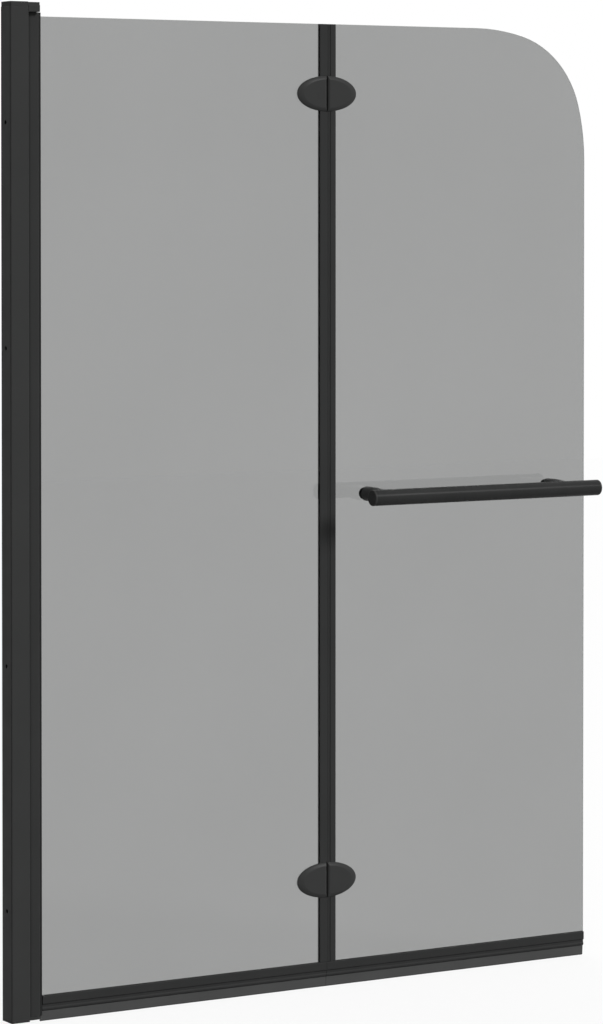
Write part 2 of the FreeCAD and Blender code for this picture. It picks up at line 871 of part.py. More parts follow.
def hinge_windows(half_depth):
    """Openings that the upright seals leave for the hinges: the cover's oval in front, the leaf's behind."""
    gap, reach = size("seal_hinge_gap"), half_depth + OVERRUN
    windows = []
    for level in HINGE_LEVELS.values():
        for name, start, end in (("cover", -reach, as_dim(0)), ("leaf", as_dim(0), reach)):
            width, height = size(f"{name}_half_width") + gap, size(f"{name}_half_height") + gap
            windows.append(oval_prism(width, height, start, end, size("fold_reach"), level))
    return windows


def glass_clip(name, side, glass_gap, reach, floor, corner):
    """Clip round the upright edge of a pane: side -1 is the inner pane, side 1 the outer one."""
    half = size("fold_clip_half_depth")
    clearance = size("clip_clearance")
    slot = GLASS_HALF + clearance
    slot_floor = (glass_gap - clearance) * side
    mouth = (glass_gap + reach) * side
    back = (glass_gap - clearance - floor) * side
    turn = LEFT * -side
    outline = [
        (mouth, -half),
        (back + corner * side, -half, corner, turn),
        (back, corner - half),
        (back, half - corner, corner, turn),
        (back + corner * side, half),
        (mouth, half),
        (mouth, slot),
        (slot_floor, slot),
        (slot_floor, -slot),
        (mouth, -slot),
    ]
    bottom = GLASS_BOTTOM + size("clip_grip") + size("fold_seal_foot")
    body = upright(name, [outline], bottom, GLASS_TOP)
    return place(body, size("fold_reach"))


def fold_clip():
    """Clip on the inner pane that carries the bulb."""
    body = glass_clip("FoldClip", -1, size("inner_glass_gap"), size("fold_clip_reach"), size("fold_clip_floor"),
                      size("fold_clip_corner"))
    return node(cut(body, *hinge_windows(size("fold_clip_half_depth"))), "fold_clip")


def stop_clip():
    """Clip on the outer pane that the bulb closes against."""
    body = glass_clip("StopClip", 1, size("outer_glass_gap"), size("stop_clip_reach"), size("stop_clip_floor"),
                      size("stop_clip_corner"))
    return node(cut(body, *hinge_windows(size("fold_clip_half_depth"))), "stop_clip")


def fold_bulb():
    """Hollow soft bulb on the fold clip that closes the gap between the panes."""
    half, corner, wall = size("bulb_half_depth"), size("bulb_corner"), size("bulb_wall")
    clearance = size("clip_clearance")
    left = size("fold_clip_floor") + clearance - size("inner_glass_gap")
    right = size("outer_glass_gap") - clearance - size("stop_clip_floor") - size("bulb_gap")
    inner_corner = corner - wall

    def shell(first, last, depth, radius):
        return [
            (first, -depth),
            (last - radius, -depth, radius, LEFT),
            (last, radius - depth),
            (last, depth - radius, radius, LEFT),
            (last - radius, depth),
            (first, depth),
        ]

    outer = shell(left, right, half, corner)
    inner = shell(left + wall, right - wall, half - wall, inner_corner)
    bottom = GLASS_BOTTOM + size("clip_grip") + size("fold_seal_foot")
    body = place(upright("FoldBulb", [outer, inner], bottom, GLASS_TOP), size("fold_reach"))
    return node(cut(body, *hinge_windows(half)), "fold_bulb")


# bottom seals

BEAD_Z = GLASS_BOTTOM - size("bead_drop")


def seal_clip(label, name, start, end):
    """Clip on the bottom edge of a pane: two legs, a narrow waist and a split bead that holds the wiper."""
    slot, half, waist = GLASS_HALF + size("clip_clearance"), size("clip_half_depth"), size("clip_waist")
    lip, bead, bore, mouth = (size("clip_lip_corner"), size("bead_radius"), size("bead_bore_radius"),
                              size("bead_mouth"))
    top = GLASS_BOTTOM + size("clip_grip")
    foot = GLASS_BOTTOM + size("clip_leg_foot")
    shoulder = BEAD_Z + other_side(bead, waist)
    outer_mouth, inner_mouth = BEAD_Z - other_side(bead, mouth), BEAD_Z - other_side(bore, mouth)
    outline = [
        (mouth, outer_mouth, bead, LEFT),
        (waist, shoulder),
        (waist, foot - (half - waist)),
        (half, foot),
        (half, top - lip, lip, LEFT),
        (half - lip, top),
        (slot, top),
        (slot, GLASS_BOTTOM),
        (-slot, GLASS_BOTTOM),
        (-slot, top),
        (lip - half, top, lip, LEFT),
        (-half, top - lip),
        (-half, foot),
        (-waist, foot - (half - waist)),
        (-waist, shoulder, bead, LEFT),
        (-mouth, outer_mouth),
        (-mouth, inner_mouth, bore, RIGHT),
        (-bore, BEAD_Z, bore, RIGHT),
        (as_dim(0), BEAD_Z + bore, bore, RIGHT),
        (bore, BEAD_Z, bore, RIGHT),
        (mouth, inner_mouth),
    ]
    return node(lengthwise(name, [outline], start, end), label)


def seal_wiper(label, name, start, end):
    """Soft fin with a round head that slides into the clip's bead and wipes the bath rim."""
    clearance = size("wiper_clearance")
    head, neck = size("bead_bore_radius") - clearance, size("bead_mouth") - clearance
    half, tip_half = size("wiper_half_depth"), size("wiper_tip_half_depth")
    shoulder = GLASS_BOTTOM - size("wiper_shoulder_drop")
    neck_top = BEAD_Z - other_side(head, neck)
    neck_foot = shoulder + (half - neck)
    tip = -HALF_HEIGHT - size("wiper_overhang")
    outline = [
        (-tip_half, tip),
        (tip_half, tip),
        (half, shoulder),
        (neck, neck_foot),
        (neck, neck_top, head, LEFT),
        (head, BEAD_Z, head, LEFT),
        (as_dim(0), BEAD_Z + head, head, LEFT),
        (-head, BEAD_Z, head, LEFT),
        (-neck, neck_top),
        (-neck, neck_foot),
        (-half, shoulder),
    ]
    return node(lengthwise(name, [outline], start, end), label)


def bottom_seals():
    """A clip and a wiper under each pane, parted at the fold."""
    split = size("bottom_seal_split") / 2
    runs = {
        "inner": (STILE_END + size("gasket_lip") + size("bottom_seal_start"), size("fold_reach") - split),
        "outer": (size("fold_reach") + split, size("screen_width")),
    }
    for pane_name, run in runs.items():
        seal_clip(f"{pane_name}_seal_clip", "SealClip", *run)
        seal_wiper(f"{pane_name}_seal_wiper", "SealWiper", *run)


# oval fold hinges, each built about its own centre on the fold line

def half_oval(name, side, start, end):
    """One half of the oval of the cover or the leaf, side -1 or 1, between two Y values."""
    width, height = size(f"{name}_half_width"), size(f"{name}_half_height")
    split = size("hinge_split") / 2
    far = (width + OVERRUN) * side
    near = split * side
    x = (far, near) if side < 0 else (near, far)
    keep = block(x, (start - OVERRUN, end + OVERRUN), (-height - OVERRUN, height + OVERRUN))
    return common(oval_prism(width, height, start, end), keep)


def oval_dome(name, centre):
    """Ellipsoid that rolls the rim of the cover or the leaf: rim high over its edge, crown over its middle."""
    rim, crown = size(f"{name}_rim"), size(f"{name}_crown")
    spread = root(as_dim(1) - (rim / crown) * (rim / crown))
    width, height = size(f"{name}_half_width"), size(f"{name}_half_height")
    return ellipsoid(width / spread, crown, height / spread, centre)


def rolled_split(side):
    """What the rolled edge leaves of a cover beside the split: a round bar and all that lies beyond it."""
    roll, reach = size("cover_roll"), size("cover_half_height") + OVERRUN
    face = -GLASS_HALF - size("cover_face")
    far = (size("cover_half_width") + OVERRUN) * side
    x = (far, roll * side) if side < 0 else (roll * side, far)
    beyond = block(x, (face - OVERRUN, as_dim(0)), (-reach, reach))
    bar = cylinder("Z", roll, reach * 2, roll * side, face + roll - size("cover_roll_rise"), -reach)
    return fuse(beyond, bar)


def screw_cylinders(side, radius, start, end):
    """Cylinders along Y at the two screws of one hinge half."""
    return [cylinder("Y", radius, end - start, size("hinge_screw_x") * side, start, level)
            for level in HINGE_SCREW_LEVELS]


def hinge_place(feature, level):
    """Puts a hinge piece on the fold line at its level."""
    return place(feature, size("fold_reach"), 0, level)


def hinge_cover(label, side, level):
    """Front cover with rolled edges and two tapped bosses that pass through the glass."""
    seat = -GLASS_HALF - size("hinge_pad")
    shell = common(half_oval("cover", side, -GLASS_HALF - size("cover_face"), seat),
                   oval_dome("cover", -GLASS_HALF), rolled_split(side))
    boss_end = GLASS_HALF + size("hinge_pad") - size("boss_end_gap")
    bosses = screw_cylinders(side, size("boss_diameter") / 2, seat - OVERRUN, boss_end)
    tap = size("hinge_screw_diameter") / 2 + size("running_clearance")
    head_seat = GLASS_HALF + size("hinge_head_seat")
    taps = screw_cylinders(side, tap, head_seat - size("hinge_tap_depth"), boss_end + OVERRUN)
    return node(hinge_place(cut(fuse(shell, *bosses), *taps), level), label)


def hinge_pads(label, side, level):
    """Thin pads between the glass and the hinge metal, front and back."""
    pads = []
    for name, start in (("cover", -GLASS_HALF - size("hinge_pad")), ("leaf", GLASS_HALF)):
        end = start + size("hinge_pad")
        holes = screw_cylinders(side, BOSS_HOLE, start - OVERRUN, end + OVERRUN)
        pads.append(hinge_place(cut(half_oval(name, side, start, end), *holes), level))
    return group(label, pads)


def knuckle_spans(side):
    """Bottom and top of each knuckle: the inner leaf has the outer two, the outer leaf the middle one."""
    span, middle, gap = size("knuckle_half_span"), size("middle_half_span"), size("knuckle_gap")
    if side < 0:
        return [(-span, -middle - gap), (middle + gap, span)]
    return [(-middle, middle)]


def hinge_leaf(label, side, level):
    """Back leaf: a half oval with a rolled rim and its knuckles, cleared for the other leaf's, counterbored."""
    seat = GLASS_HALF + size("hinge_pad")
    axis, gap = size("fold_offset"), size("knuckle_gap")
    plate = common(half_oval("leaf", side, seat, GLASS_HALF + size("leaf_face")),
                   oval_dome("leaf", GLASS_HALF))
    relief_radius = size("knuckle_radius") + size("knuckle_relief")
    reliefs = [cylinder("Z", relief_radius, top - bottom + gap * 2, 0, axis, bottom - gap)
               for bottom, top in knuckle_spans(-side)]
    knuckles = [cylinder("Z", size("knuckle_radius"), top - bottom, 0, axis, bottom)
                for bottom, top in knuckle_spans(side)]
    pin = size("hinge_pin_diameter") / 2
    fit = size("press_clearance")
    bore = pin + fit if side < 0 else pin + size("running_clearance") + size("hinge_bush_wall") + fit
    span = size("knuckle_half_span") + OVERRUN
    bore_tool = cylinder("Z", bore, span * 2, 0, axis, -span)
    head_seat = GLASS_HALF + size("hinge_head_seat")
    clearance = size("hole_clearance")
    shank = size("hinge_screw_diameter") / 2 + clearance
    head = size("hinge_head_diameter") / 2 + clearance
    back = GLASS_HALF + size("leaf_face") + OVERRUN
    shanks = screw_cylinders(side, shank, seat - OVERRUN, back)
    heads = screw_cylinders(side, head, head_seat, back)
    leaf = fuse(cut(plate, *reliefs), *knuckles)
    return node(hinge_place(cut(leaf, bore_tool, *shanks, *heads), level), label)


def hinge_pin(label, level):
    """Steel pin held in the outer knuckles, with chamfered ends just proud of them."""
    radius, edge = size("hinge_pin_diameter") / 2, size("hinge_pin_edge")
    end = size("knuckle_half_span") + size("hinge_pin_proud")
    profile = [
        (-end, as_dim(0)),
        (-end, radius - edge),
        (edge - end, radius),
        (end - edge, radius),
        (end, radius - edge),
        (end, as_dim(0)),
    ]
    return node(turned("HingePin", "Z", profile, size("fold_reach"), size("fold_offset"), level), label)


def hinge_bush(label, level):
    """Nylon sleeve in the middle knuckle, which turns on the pin."""
    inside = size("hinge_pin_diameter") / 2 + size("running_clearance")
    outside = inside + size("hinge_bush_wall")
    half = size("middle_half_span")
    profile = [(-half, inside), (half, inside), (half, outside), (-half, outside)]
    return node(turned("HingeBush", "Z", profile, size("fold_reach"), size("fold_offset"), level), label)


def hinge_screws(label, side):
    """Screws from the back leaves into the front covers, on one side of both hinges."""
    x = size("fold_reach") + size("hinge_screw_x") * side
    seat = GLASS_HALF + size("hinge_head_seat")
    screws = []
    for level in HINGE_LEVELS.values():
        for offset in HINGE_SCREW_LEVELS:
            screw = socket_screw(
                "HingeScrew", seat, size("hinge_head_diameter"), size("hinge_head_height"),
                size("hinge_head_edge"), size("hinge_screw_diameter"), size("hinge_screw_length"),
                x, level + offset)
            screws.append(screw)
    return group(label, screws)


def fold_hinges():
    """Both hinges, piece by piece."""
    for place_name, level in HINGE_LEVELS.items():
        for pane_name, side in (("inner", -1), ("outer", 1)):
            hinge_cover(f"{place_name}_hinge_{pane_name}_cover", side, level)
            hinge_pads(f"{place_name}_hinge_{pane_name}_pads", side, level)
            hinge_leaf(f"{place_name}_hinge_{pane_name}_leaf", side, level)
        hinge_pin(f"{place_name}_hinge_pin", level)
        hinge_bush(f"{place_name}_hinge_bush", level)
    hinge_screws("hinge_inner_screws", -1)
    hinge_screws("hinge_outer_screws", 1)


# towel rail

BAR_RADIUS = size("rail_diameter") / 2
STUD_HOLE = size("stud_diameter") / 2 + size("stud_clearance")
STUD_THREAD = size("stud_diameter") / 2 + size("running_clearance")


def towel_bar():
    """Tube of the rail with a tapped hole at each post."""
    outside = (RAIL_Y, RAIL_Z, BAR_RADIUS)
    inside = (RAIL_Y, RAIL_Z, BAR_RADIUS - size("rail_wall"))
    start, end = RAIL_START + size("rail_cap_flange"), RAIL_END - size("rail_cap_flange")
    tube = lengthwise("TowelBar", [], start, end, [outside, inside])
    holes = [cylinder("Y", STUD_THREAD, BAR_RADIUS + OVERRUN, x, RAIL_Y, RAIL_Z) for x in POSTS.values()]
    return node(cut(tube, *holes), "towel_bar")


def bar_cap(label, face, direction):
    """End cap of the bar with a spigot that plugs into the tube, its face looking along direction."""
    seat = face - size("rail_cap_flange") * direction
    edge = size("rail_cap_edge")
    spigot = BAR_RADIUS - size("rail_wall") - size("rail_cap_clearance")
    profile = [
        (face, as_dim(0)),
        (face, BAR_RADIUS - edge, edge, LEFT * direction),
        (face - edge * direction, BAR_RADIUS),
        (seat, BAR_RADIUS),
        (seat, spigot),
        (seat - size("rail_cap_spigot") * direction, spigot),
        (seat - size("rail_cap_spigot") * direction, as_dim(0)),
    ]
    return node(turned("BarCap", "X", profile, 0, RAIL_Y, RAIL_Z), label)


def rail_post(label, x):
    """Post from the glass to the bar: a wide foot, a taper and a neck cut to the bar's curve."""
    foot = -GLASS_HALF - size("grommet_flange")
    base, neck, edge = size("post_base_diameter") / 2, size("post_neck_diameter") / 2, size("post_base_edge")
    base_end = foot - size("post_base_length")
    taper_end = base_end - size("post_taper_length")
    profile = [
        (foot, STUD_HOLE),
        (foot, base - edge),
        (foot - edge, base),
        (base_end, base),
        (taper_end, neck),
        (RAIL_Y, neck),
        (RAIL_Y, STUD_HOLE),
    ]
    body = turned("RailPost", "Y", profile, x, 0, RAIL_Z)
    bar = cylinder("X", BAR_RADIUS, size("post_base_diameter") * 2, x - size("post_base_diameter"), RAIL_Y, RAIL_Z)
    return node(cut(body, bar), label)


def rail_grommets(label, direction):
    """Soft washers with a spigot in the glass holes, on the front (-1) or back (1) of the pane."""
    glass = GLASS_HALF * direction
    outer = glass + size("grommet_flange") * direction
    inner = glass - size("grommet_spigot") * direction
    flange = size("post_base_diameter" if direction < 0 else "nut_diameter") / 2
    spigot = size("rail_glass_hole_diameter") / 2 - size("grommet_clearance")
    profile = [
        (inner, STUD_HOLE),
        (inner, spigot),
        (glass, spigot),
        (glass, flange),
        (outer, flange),
        (outer, STUD_HOLE),
    ]
    return group(label, [turned("Grommet", "Y", profile, x, 0, RAIL_Z) for x in POSTS.values()])


def rail_nut(label, x):
    """Round blind nut that draws the post against the glass from the back."""
    seat = GLASS_HALF + size("grommet_flange")
    face = seat + size("nut_height")
    radius, edge = size("nut_diameter") / 2, size("nut_edge")
    floor = seat + size("stud_in_nut") + size("boss_end_gap")
    profile = [
        (seat, STUD_THREAD),
        (seat, radius),
        (face - edge, radius, edge, LEFT),
        (face, radius - edge),
        (face, as_dim(0)),
        (floor, as_dim(0)),
        (floor, STUD_THREAD),
    ]
    return node(turned("RailNut", "Y", profile, x, 0, RAIL_Z), label)


def rail_studs():
    """Threaded rods from the nuts through the glass and the posts into the bar."""
    radius = size("stud_diameter") / 2
    start = RAIL_Y + BAR_RADIUS - size("rail_wall") - size("stud_in_bar")
    end = GLASS_HALF + size("grommet_flange") + size("stud_in_nut")
    profile = [(start, as_dim(0)), (start, radius), (end, radius), (end, as_dim(0))]
    return group("rail_studs", [turned("RailStud", "Y", profile, x, 0, RAIL_Z) for x in POSTS.values()])


def towel_rail():
    """Bar, caps, posts, grommets, nuts and studs."""
    towel_bar()
    bar_cap("inner_bar_cap", RAIL_START, -1)
    bar_cap("outer_bar_cap", RAIL_END, 1)
    for pane_name, x in POSTS.items():
        rail_post(f"{pane_name}_rail_post", x)
        rail_nut(f"{pane_name}_rail_nut", x)
    rail_grommets("rail_front_grommets", -1)
    rail_grommets("rail_back_grommets", 1)
    rail_studs()


# the whole screen, from the wall outwards

wall_channel()
adjuster_profile()
lock_screws()
top_pivot_cap()
bottom_pivot_cap()
pivot_pin("top_pivot_pin", "TopPivotPin", EAR_BOTTOM - size("pivot_pin_depth"), PIN_SEAT_TOP)
pivot_pin("bottom_pivot_pin", "BottomPivotPin", size("foot_pin_rise") - HALF_HEIGHT,
          FOOT_TOP + size("pivot_pin_depth"))
pivot_bush("top_pivot_bush", "TopPivotBush", STILE_TOP - BUSH_RECESS, 1)
pivot_bush("bottom_pivot_bush", "BottomPivotBush", STILE_BOTTOM + BUSH_RECESS, -1)
stile()
glazing_gasket()
inner_glass()
outer_glass()
fold_clip()
stop_clip()
fold_bulb()
bottom_seals()
fold_hinges()
towel_rail()
doc.recompute()

for feature in doc.Objects:
    if "Invalid" in feature.State or "Error" in feature.State:
        raise RuntimeError(f"{feature.Name} ({feature.Label}) failed: {feature.State}")
for feature in NODES:
    if feature.Shape.isNull() or not feature.Shape.isValid() or not feature.Shape.Solids:
        raise RuntimeError(f"{feature.Label} has no valid solid")

os.makedirs("parts", exist_ok=True)
for feature in NODES:
    feature.Shape.exportStep(f"parts/{feature.Label}.step")
print(len(NODES), "pieces written")
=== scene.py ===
"""Looks of a folding bath screen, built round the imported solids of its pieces.

The frame is in metres: X runs from the wall along the closed screen, Y from the towel rail's side to the
folding side with zero in the middle of the glass, and Z up with zero at half the channel's height.
"""

import logging
import math
from dataclasses import dataclass, field
from enum import Enum
from typing import Any

import bpy
import numpy as np
from mathutils import Matrix, Vector
from numpy.typing import NDArray


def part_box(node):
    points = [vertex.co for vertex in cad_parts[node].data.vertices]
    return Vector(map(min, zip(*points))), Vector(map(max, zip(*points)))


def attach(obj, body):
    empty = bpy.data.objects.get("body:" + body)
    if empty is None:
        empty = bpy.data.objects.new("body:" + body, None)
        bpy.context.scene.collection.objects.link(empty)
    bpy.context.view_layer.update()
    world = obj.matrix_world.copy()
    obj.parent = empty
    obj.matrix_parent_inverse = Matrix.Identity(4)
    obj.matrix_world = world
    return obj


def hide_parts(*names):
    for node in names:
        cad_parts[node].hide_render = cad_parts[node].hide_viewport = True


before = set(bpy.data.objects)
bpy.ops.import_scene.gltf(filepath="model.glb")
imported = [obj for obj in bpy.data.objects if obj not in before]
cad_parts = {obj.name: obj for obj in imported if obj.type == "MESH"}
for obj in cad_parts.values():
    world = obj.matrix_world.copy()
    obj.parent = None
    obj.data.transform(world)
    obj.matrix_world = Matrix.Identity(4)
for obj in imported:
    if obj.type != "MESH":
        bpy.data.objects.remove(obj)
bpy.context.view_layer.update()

Array = NDArray[np.float64]
Faces = NDArray[np.int64]
Shell = tuple[Array, Faces]
Colour = tuple[float, float, float]
Point = tuple[float, float, float]

log = logging.getLogger("bath_screen")

MM = 0.001
FULL_TURN = 2 * math.pi
SMOOTH_ANGLE = math.radians(40)


# meshes


def put_faces(name: str, points: Array, quads: Faces) -> bpy.types.Object:
    """Makes an object at the origin from points and four-sided faces.

    Args:
        name: name of the object and its mesh.
        points: one row of X, Y and Z for each vertex.
        quads: one row of four vertex numbers for each face, anticlockwise seen from outside.

    Returns:
        The new object, smooth shaded, with sharp edges where faces meet at a steep angle.
    """
    mesh = bpy.data.meshes.new(name)
    mesh.vertices.add(len(points))
    mesh.vertices.foreach_set("co", points.astype(np.float32).ravel())
    mesh.loops.add(quads.size)
    mesh.loops.foreach_set("vertex_index", quads.astype(np.int32).ravel())
    mesh.polygons.add(len(quads))
    mesh.polygons.foreach_set("loop_start", np.arange(0, quads.size, 4, dtype=np.int32))
    mesh.polygons.foreach_set("use_smooth", np.ones(len(quads), dtype=bool))
    mesh.update(calc_edges=True)
    mesh.validate()
    mesh.set_sharp_from_angle(angle=SMOOTH_ANGLE)
    made = bpy.data.objects.new(name, mesh)
    bpy.context.scene.collection.objects.link(made)
    return made


def grid_quads(index: Faces) -> Faces:
    """Faces of a grid of vertex numbers.

    Args:
        index: vertex numbers in rows and columns.

    Returns:
        One face for each cell, running along the columns and then along the rows.
    """
    cells = (index[:-1, :-1], index[:-1, 1:], index[1:, 1:], index[1:, :-1])
    return np.stack([cell.ravel() for cell in cells], axis=1)


def slab(front: Array, back: Array, closed: bool = False) -> Shell:
    """Closed shell between two grids of the same size: both faces and the rims that join them.

    Args:
        front: rows, columns and X, Y, Z of the face whose cells run anticlockwise from outside.
        back: the other face, point for point.
        closed: True where the last column runs on into the first, as round a ring.

    Returns:
        The points and the faces of the shell.
    """
    rows, columns = front.shape[:2]
    near = np.arange(rows * columns).reshape(rows, columns)
    far = near + rows * columns
    if closed:
        near = np.concatenate([near, near[:, :1]], axis=1)
        far = np.concatenate([far, far[:, :1]], axis=1)
    parts = [
        grid_quads(near),
        grid_quads(far[:, ::-1]),
        grid_quads(np.stack([far[0], near[0]])),
        grid_quads(np.stack([near[-1], far[-1]])),
    ]
    if not closed:
        parts.append(grid_quads(np.stack([near[:, 0], far[:, 0]])))
        parts.append(grid_quads(np.stack([far[:, -1], near[:, -1]])))
    points = np.concatenate([front.reshape(-1, 3), back.reshape(-1, 3)])
    return points, np.concatenate(parts)


def ring(loops: Array) -> Shell:
    """Closed surface of a section carried round a ring, both ways round without an end.

    Args:
        loops: stations round the ring, points round the section and X, Y, Z.

    Returns:
        The points and the faces of the ring.
    """
    stations, around = loops.shape[:2]
    index = np.arange(stations * around).reshape(stations, around)
    index = np.concatenate([index, index[:1]], axis=0)
    index = np.concatenate([index, index[:, :1]], axis=1)
    return loops.reshape(-1, 3), grid_quads(index)


def joined(name: str, shells: list[Shell]) -> bpy.types.Object:
    """Makes one object from several shells.

    Args:
        name: name of the object.
        shells: points and faces of each shell.

    Returns:
        The new object.
    """
    starts = np.cumsum([0] + [len(points) for points, _ in shells[:-1]])
    points = np.concatenate([points for points, _ in shells])
    quads = np.concatenate([faces + start for (_, faces), start in zip(shells, starts)])
    return put_faces(name, points, quads)


def rounded_loop(low: Array, high: Array, corner: float, count: int) -> Array:
    """Loop round a box with round corners, in equal steps of the direction of its normal.

    The point for an angle is the nearest corner centre plus the corner radius times (cos, sin).

    Args:
        low: lowest two coordinates of the box.
        high: highest two coordinates of the box.
        corner: radius of the corners.
        count: points in the loop.

    Returns:
        The loop's points, anticlockwise.
    """
    angle = (np.arange(count) + 0.5) * (FULL_TURN / count)
    facing = np.stack([np.cos(angle), np.sin(angle)], axis=1)
    centre = np.where(facing > 0, high - corner, low + corner)
    return centre + corner * facing


def carried(outer: Array, inner: Array, levels: Array, closed: bool = False) -> Shell:
    """Shell of a profile in X and Y carried up Z.

    Args:
        outer: outer line of the profile, X and Y for each point.
        inner: inner line, point for point.
        levels: heights, rising. One for each station, or stations by points.
        closed: True where the lines are loops.

    Returns:
        The points and the faces of the shell.
    """
    columns = levels[:, None] if levels.ndim == 1 else levels
    heights = np.broadcast_to(columns, (len(levels), len(outer)))

    def rise(line: Array) -> Array:
        """The line at every height."""
        flat = np.broadcast_to(line, (len(levels), *line.shape))
        return np.concatenate([flat, heights[..., None]], axis=2)

    return slab(rise(outer), rise(inner), closed)


# finishes


class Grain(Enum):
    """How fine the skin of a finish is, by the size of its grains in metres."""

    COAT = 0.0007
    MOULDED = 0.0011
    RUBBER = 0.0016
    METAL = 0.0005


class Lines(Enum):
    """Which way the drawing lines of a profile run, as stretch along X, Y and Z."""

    NONE = (1.0, 1.0, 1.0)
    UPRIGHT = (1.0, 1.0, 0.012)
    LENGTHWISE = (0.012, 1.0, 1.0)


# spread of a noise that is mapped on a slow change, and of the one that breaks up a rubbed edge and its
# painted highlight
CLOUD_SPREAD = (0.3, 0.7)
WEAR_AND_HIGHLIGHT_SPREAD = (0.25, 0.55)
# cosine of the turn at which a rounded edge counts as fully rubbed and lit, set wide so that edges carry a
# painted highlight
WEAR_AND_HIGHLIGHT_TURN = 0.92
# octaves of each noise
GRAIN_DETAIL = 3.0
CLOUD_DETAIL = 4.0
LINE_DETAIL = 2.0
WEAR_DETAIL = 3.0
BEVEL_SAMPLES = 4
# repeats of each pattern in a metre
SHADE_FREQUENCY = 14.0
GLOSS_FREQUENCY = 31.0
WEAR_FREQUENCY = 90.0
LINE_FREQUENCY = 900.0
TINT_FREQUENCY = 3.0
WIPING_FREQUENCY = 9.0
# share of its depth that each bump shows
GRAIN_STRENGTH = 0.6
LINE_STRENGTH = 0.5
# how squarely the glass faces front or back where the ground edge starts and where it has ended
GROUND_FACING = (0.3, 0.7)
WHITE = (1.0, 1.0, 1.0, 1.0)
# numbers of the mix node's sockets when it mixes colours
MIX_SHARE, MIX_FIRST, MIX_SECOND = 0, 6, 7
MIX_RESULT = 2


def add(
    tree: bpy.types.NodeTree, kind: str, inputs: dict[Any, Any] | None = None, **settings: Any,
) -> bpy.types.Node:
    """Adds a shader node.

    Args:
        tree: tree that gets the node.
        kind: the node's type without its common first part.
        inputs: value, or socket to link, for each named or numbered input.
        **settings: the node's own properties.

    Returns:
        The new node.
    """
    made = tree.nodes.new("ShaderNode" + kind)
    for key, value in settings.items():
        setattr(made, key, value)
    for key, value in (inputs or {}).items():
        if isinstance(value, bpy.types.NodeSocket):
            tree.links.new(value, made.inputs[key])
        else:
            made.inputs[key].default_value = value
    return made


def new_group(
    name: str, inputs: dict[str, str], outputs: dict[str, str],
) -> tuple[bpy.types.NodeTree, Any, Any]:
    """Starts a shader node group.

    Args:
        name: the group's name.
        inputs: socket type of each named input.
        outputs: socket type of each named output.

    Returns:
        The group, its input sockets by name and its output node.
    """
    tree = bpy.data.node_groups.new(name, "ShaderNodeTree")
    for direction, sockets in (("INPUT", inputs), ("OUTPUT", outputs)):
        for socket, kind in sockets.items():
            tree.interface.new_socket(socket, in_out=direction, socket_type="NodeSocket" + kind)
    return tree, tree.nodes.new("NodeGroupInput").outputs, tree.nodes.new("NodeGroupOutput")


def grain_group() -> bpy.types.NodeTree:
    """Fine skin of a surface: rounded cells softened by noise, as a height from 0 to 1."""
    sockets = {"Place": "Vector", "Frequency": "Float"}
    tree, given, result = new_group("skin_grain", sockets, {"Height": "Float"})
    spot = {"Vector": given["Place"], "Scale": given["Frequency"]}
    cells = add(tree, "TexVoronoi", spot, feature="SMOOTH_F1")
    noise = add(tree, "TexNoise", {**spot, "Detail": GRAIN_DETAIL})
    both = add(tree, "Math", {0: cells.outputs["Distance"], 1: noise.outputs[0]}, operation="MULTIPLY")
    tree.links.new(both.outputs[0], result.inputs["Height"])
    return tree


def cloud_group() -> bpy.types.NodeTree:
    """Slow change over a surface, such as handling and dried water, between a low and a high value."""
    sockets = {"Place": "Vector", "Frequency": "Float", "Low": "Float", "High": "Float"}
    tree, given, result = new_group("slow_change", sockets, {"Value": "Float"})
    noise = add(tree, "TexNoise", {
        "Vector": given["Place"], "Scale": given["Frequency"], "Detail": CLOUD_DETAIL,
    })
    spread = add(tree, "MapRange", {
        "Value": noise.outputs[0], "From Min": CLOUD_SPREAD[0], "From Max": CLOUD_SPREAD[1],
        "To Min": given["Low"], "To Max": given["High"],
    })
    tree.links.new(spread.outputs[0], result.inputs["Value"])
    return tree


def lines_group() -> bpy.types.NodeTree:
    """Fine lines that a die or a brush leaves along a piece, as a height from 0 to 1."""
    sockets = {"Place": "Vector", "Stretch": "Vector", "Frequency": "Float"}
    tree, given, result = new_group("drawn_lines", sockets, {"Height": "Float"})
    drawn = add(tree, "VectorMath", {0: given["Place"], 1: given["Stretch"]}, operation="MULTIPLY")
    noise = add(tree, "TexNoise", {
        "Vector": drawn.outputs[0], "Scale": given["Frequency"], "Detail": LINE_DETAIL,
    })
    tree.links.new(noise.outputs[0], result.inputs["Height"])
    return tree


def edge_group() -> bpy.types.NodeTree:
    """Rounded edges, and a mask of where they take a lighter colour: partly rubbed wear, partly a painted
    highlight.

    The mask is how far the rounded normal turns from the plain one, broken up by noise.
    """
    sockets = {"Place": "Vector", "Radius": "Float", "Frequency": "Float"}
    tree, given, result = new_group("rubbed_and_highlit_edge", sockets, {"Mask": "Float", "Normal": "Vector"})
    soft = add(tree, "Bevel", {"Radius": given["Radius"]}, samples=BEVEL_SAMPLES)
    plain = add(tree, "NewGeometry").outputs["Normal"]
    turn = add(tree, "VectorMath", {0: soft.outputs[0], 1: plain}, operation="DOT_PRODUCT")
    edge = add(tree, "MapRange", {"Value": turn.outputs["Value"], "From Min": 1.0, "From Max": WEAR_AND_HIGHLIGHT_TURN})
    noise = add(tree, "TexNoise", {
        "Vector": given["Place"], "Scale": given["Frequency"], "Detail": WEAR_DETAIL,
    })
    broken = add(tree, "MapRange", {
        "Value": noise.outputs[0], "From Min": WEAR_AND_HIGHLIGHT_SPREAD[0], "From Max": WEAR_AND_HIGHLIGHT_SPREAD[1],
    })
    mask = add(tree, "Math", {0: edge.outputs[0], 1: broken.outputs[0]}, operation="MULTIPLY")
    tree.links.new(mask.outputs[0], result.inputs["Mask"])
    tree.links.new(soft.outputs[0], result.inputs["Normal"])
    return tree


GROUPS = {
    "grain": grain_group(),
    "cloud": cloud_group(),
    "lines": lines_group(),
    "edge": edge_group(),
}


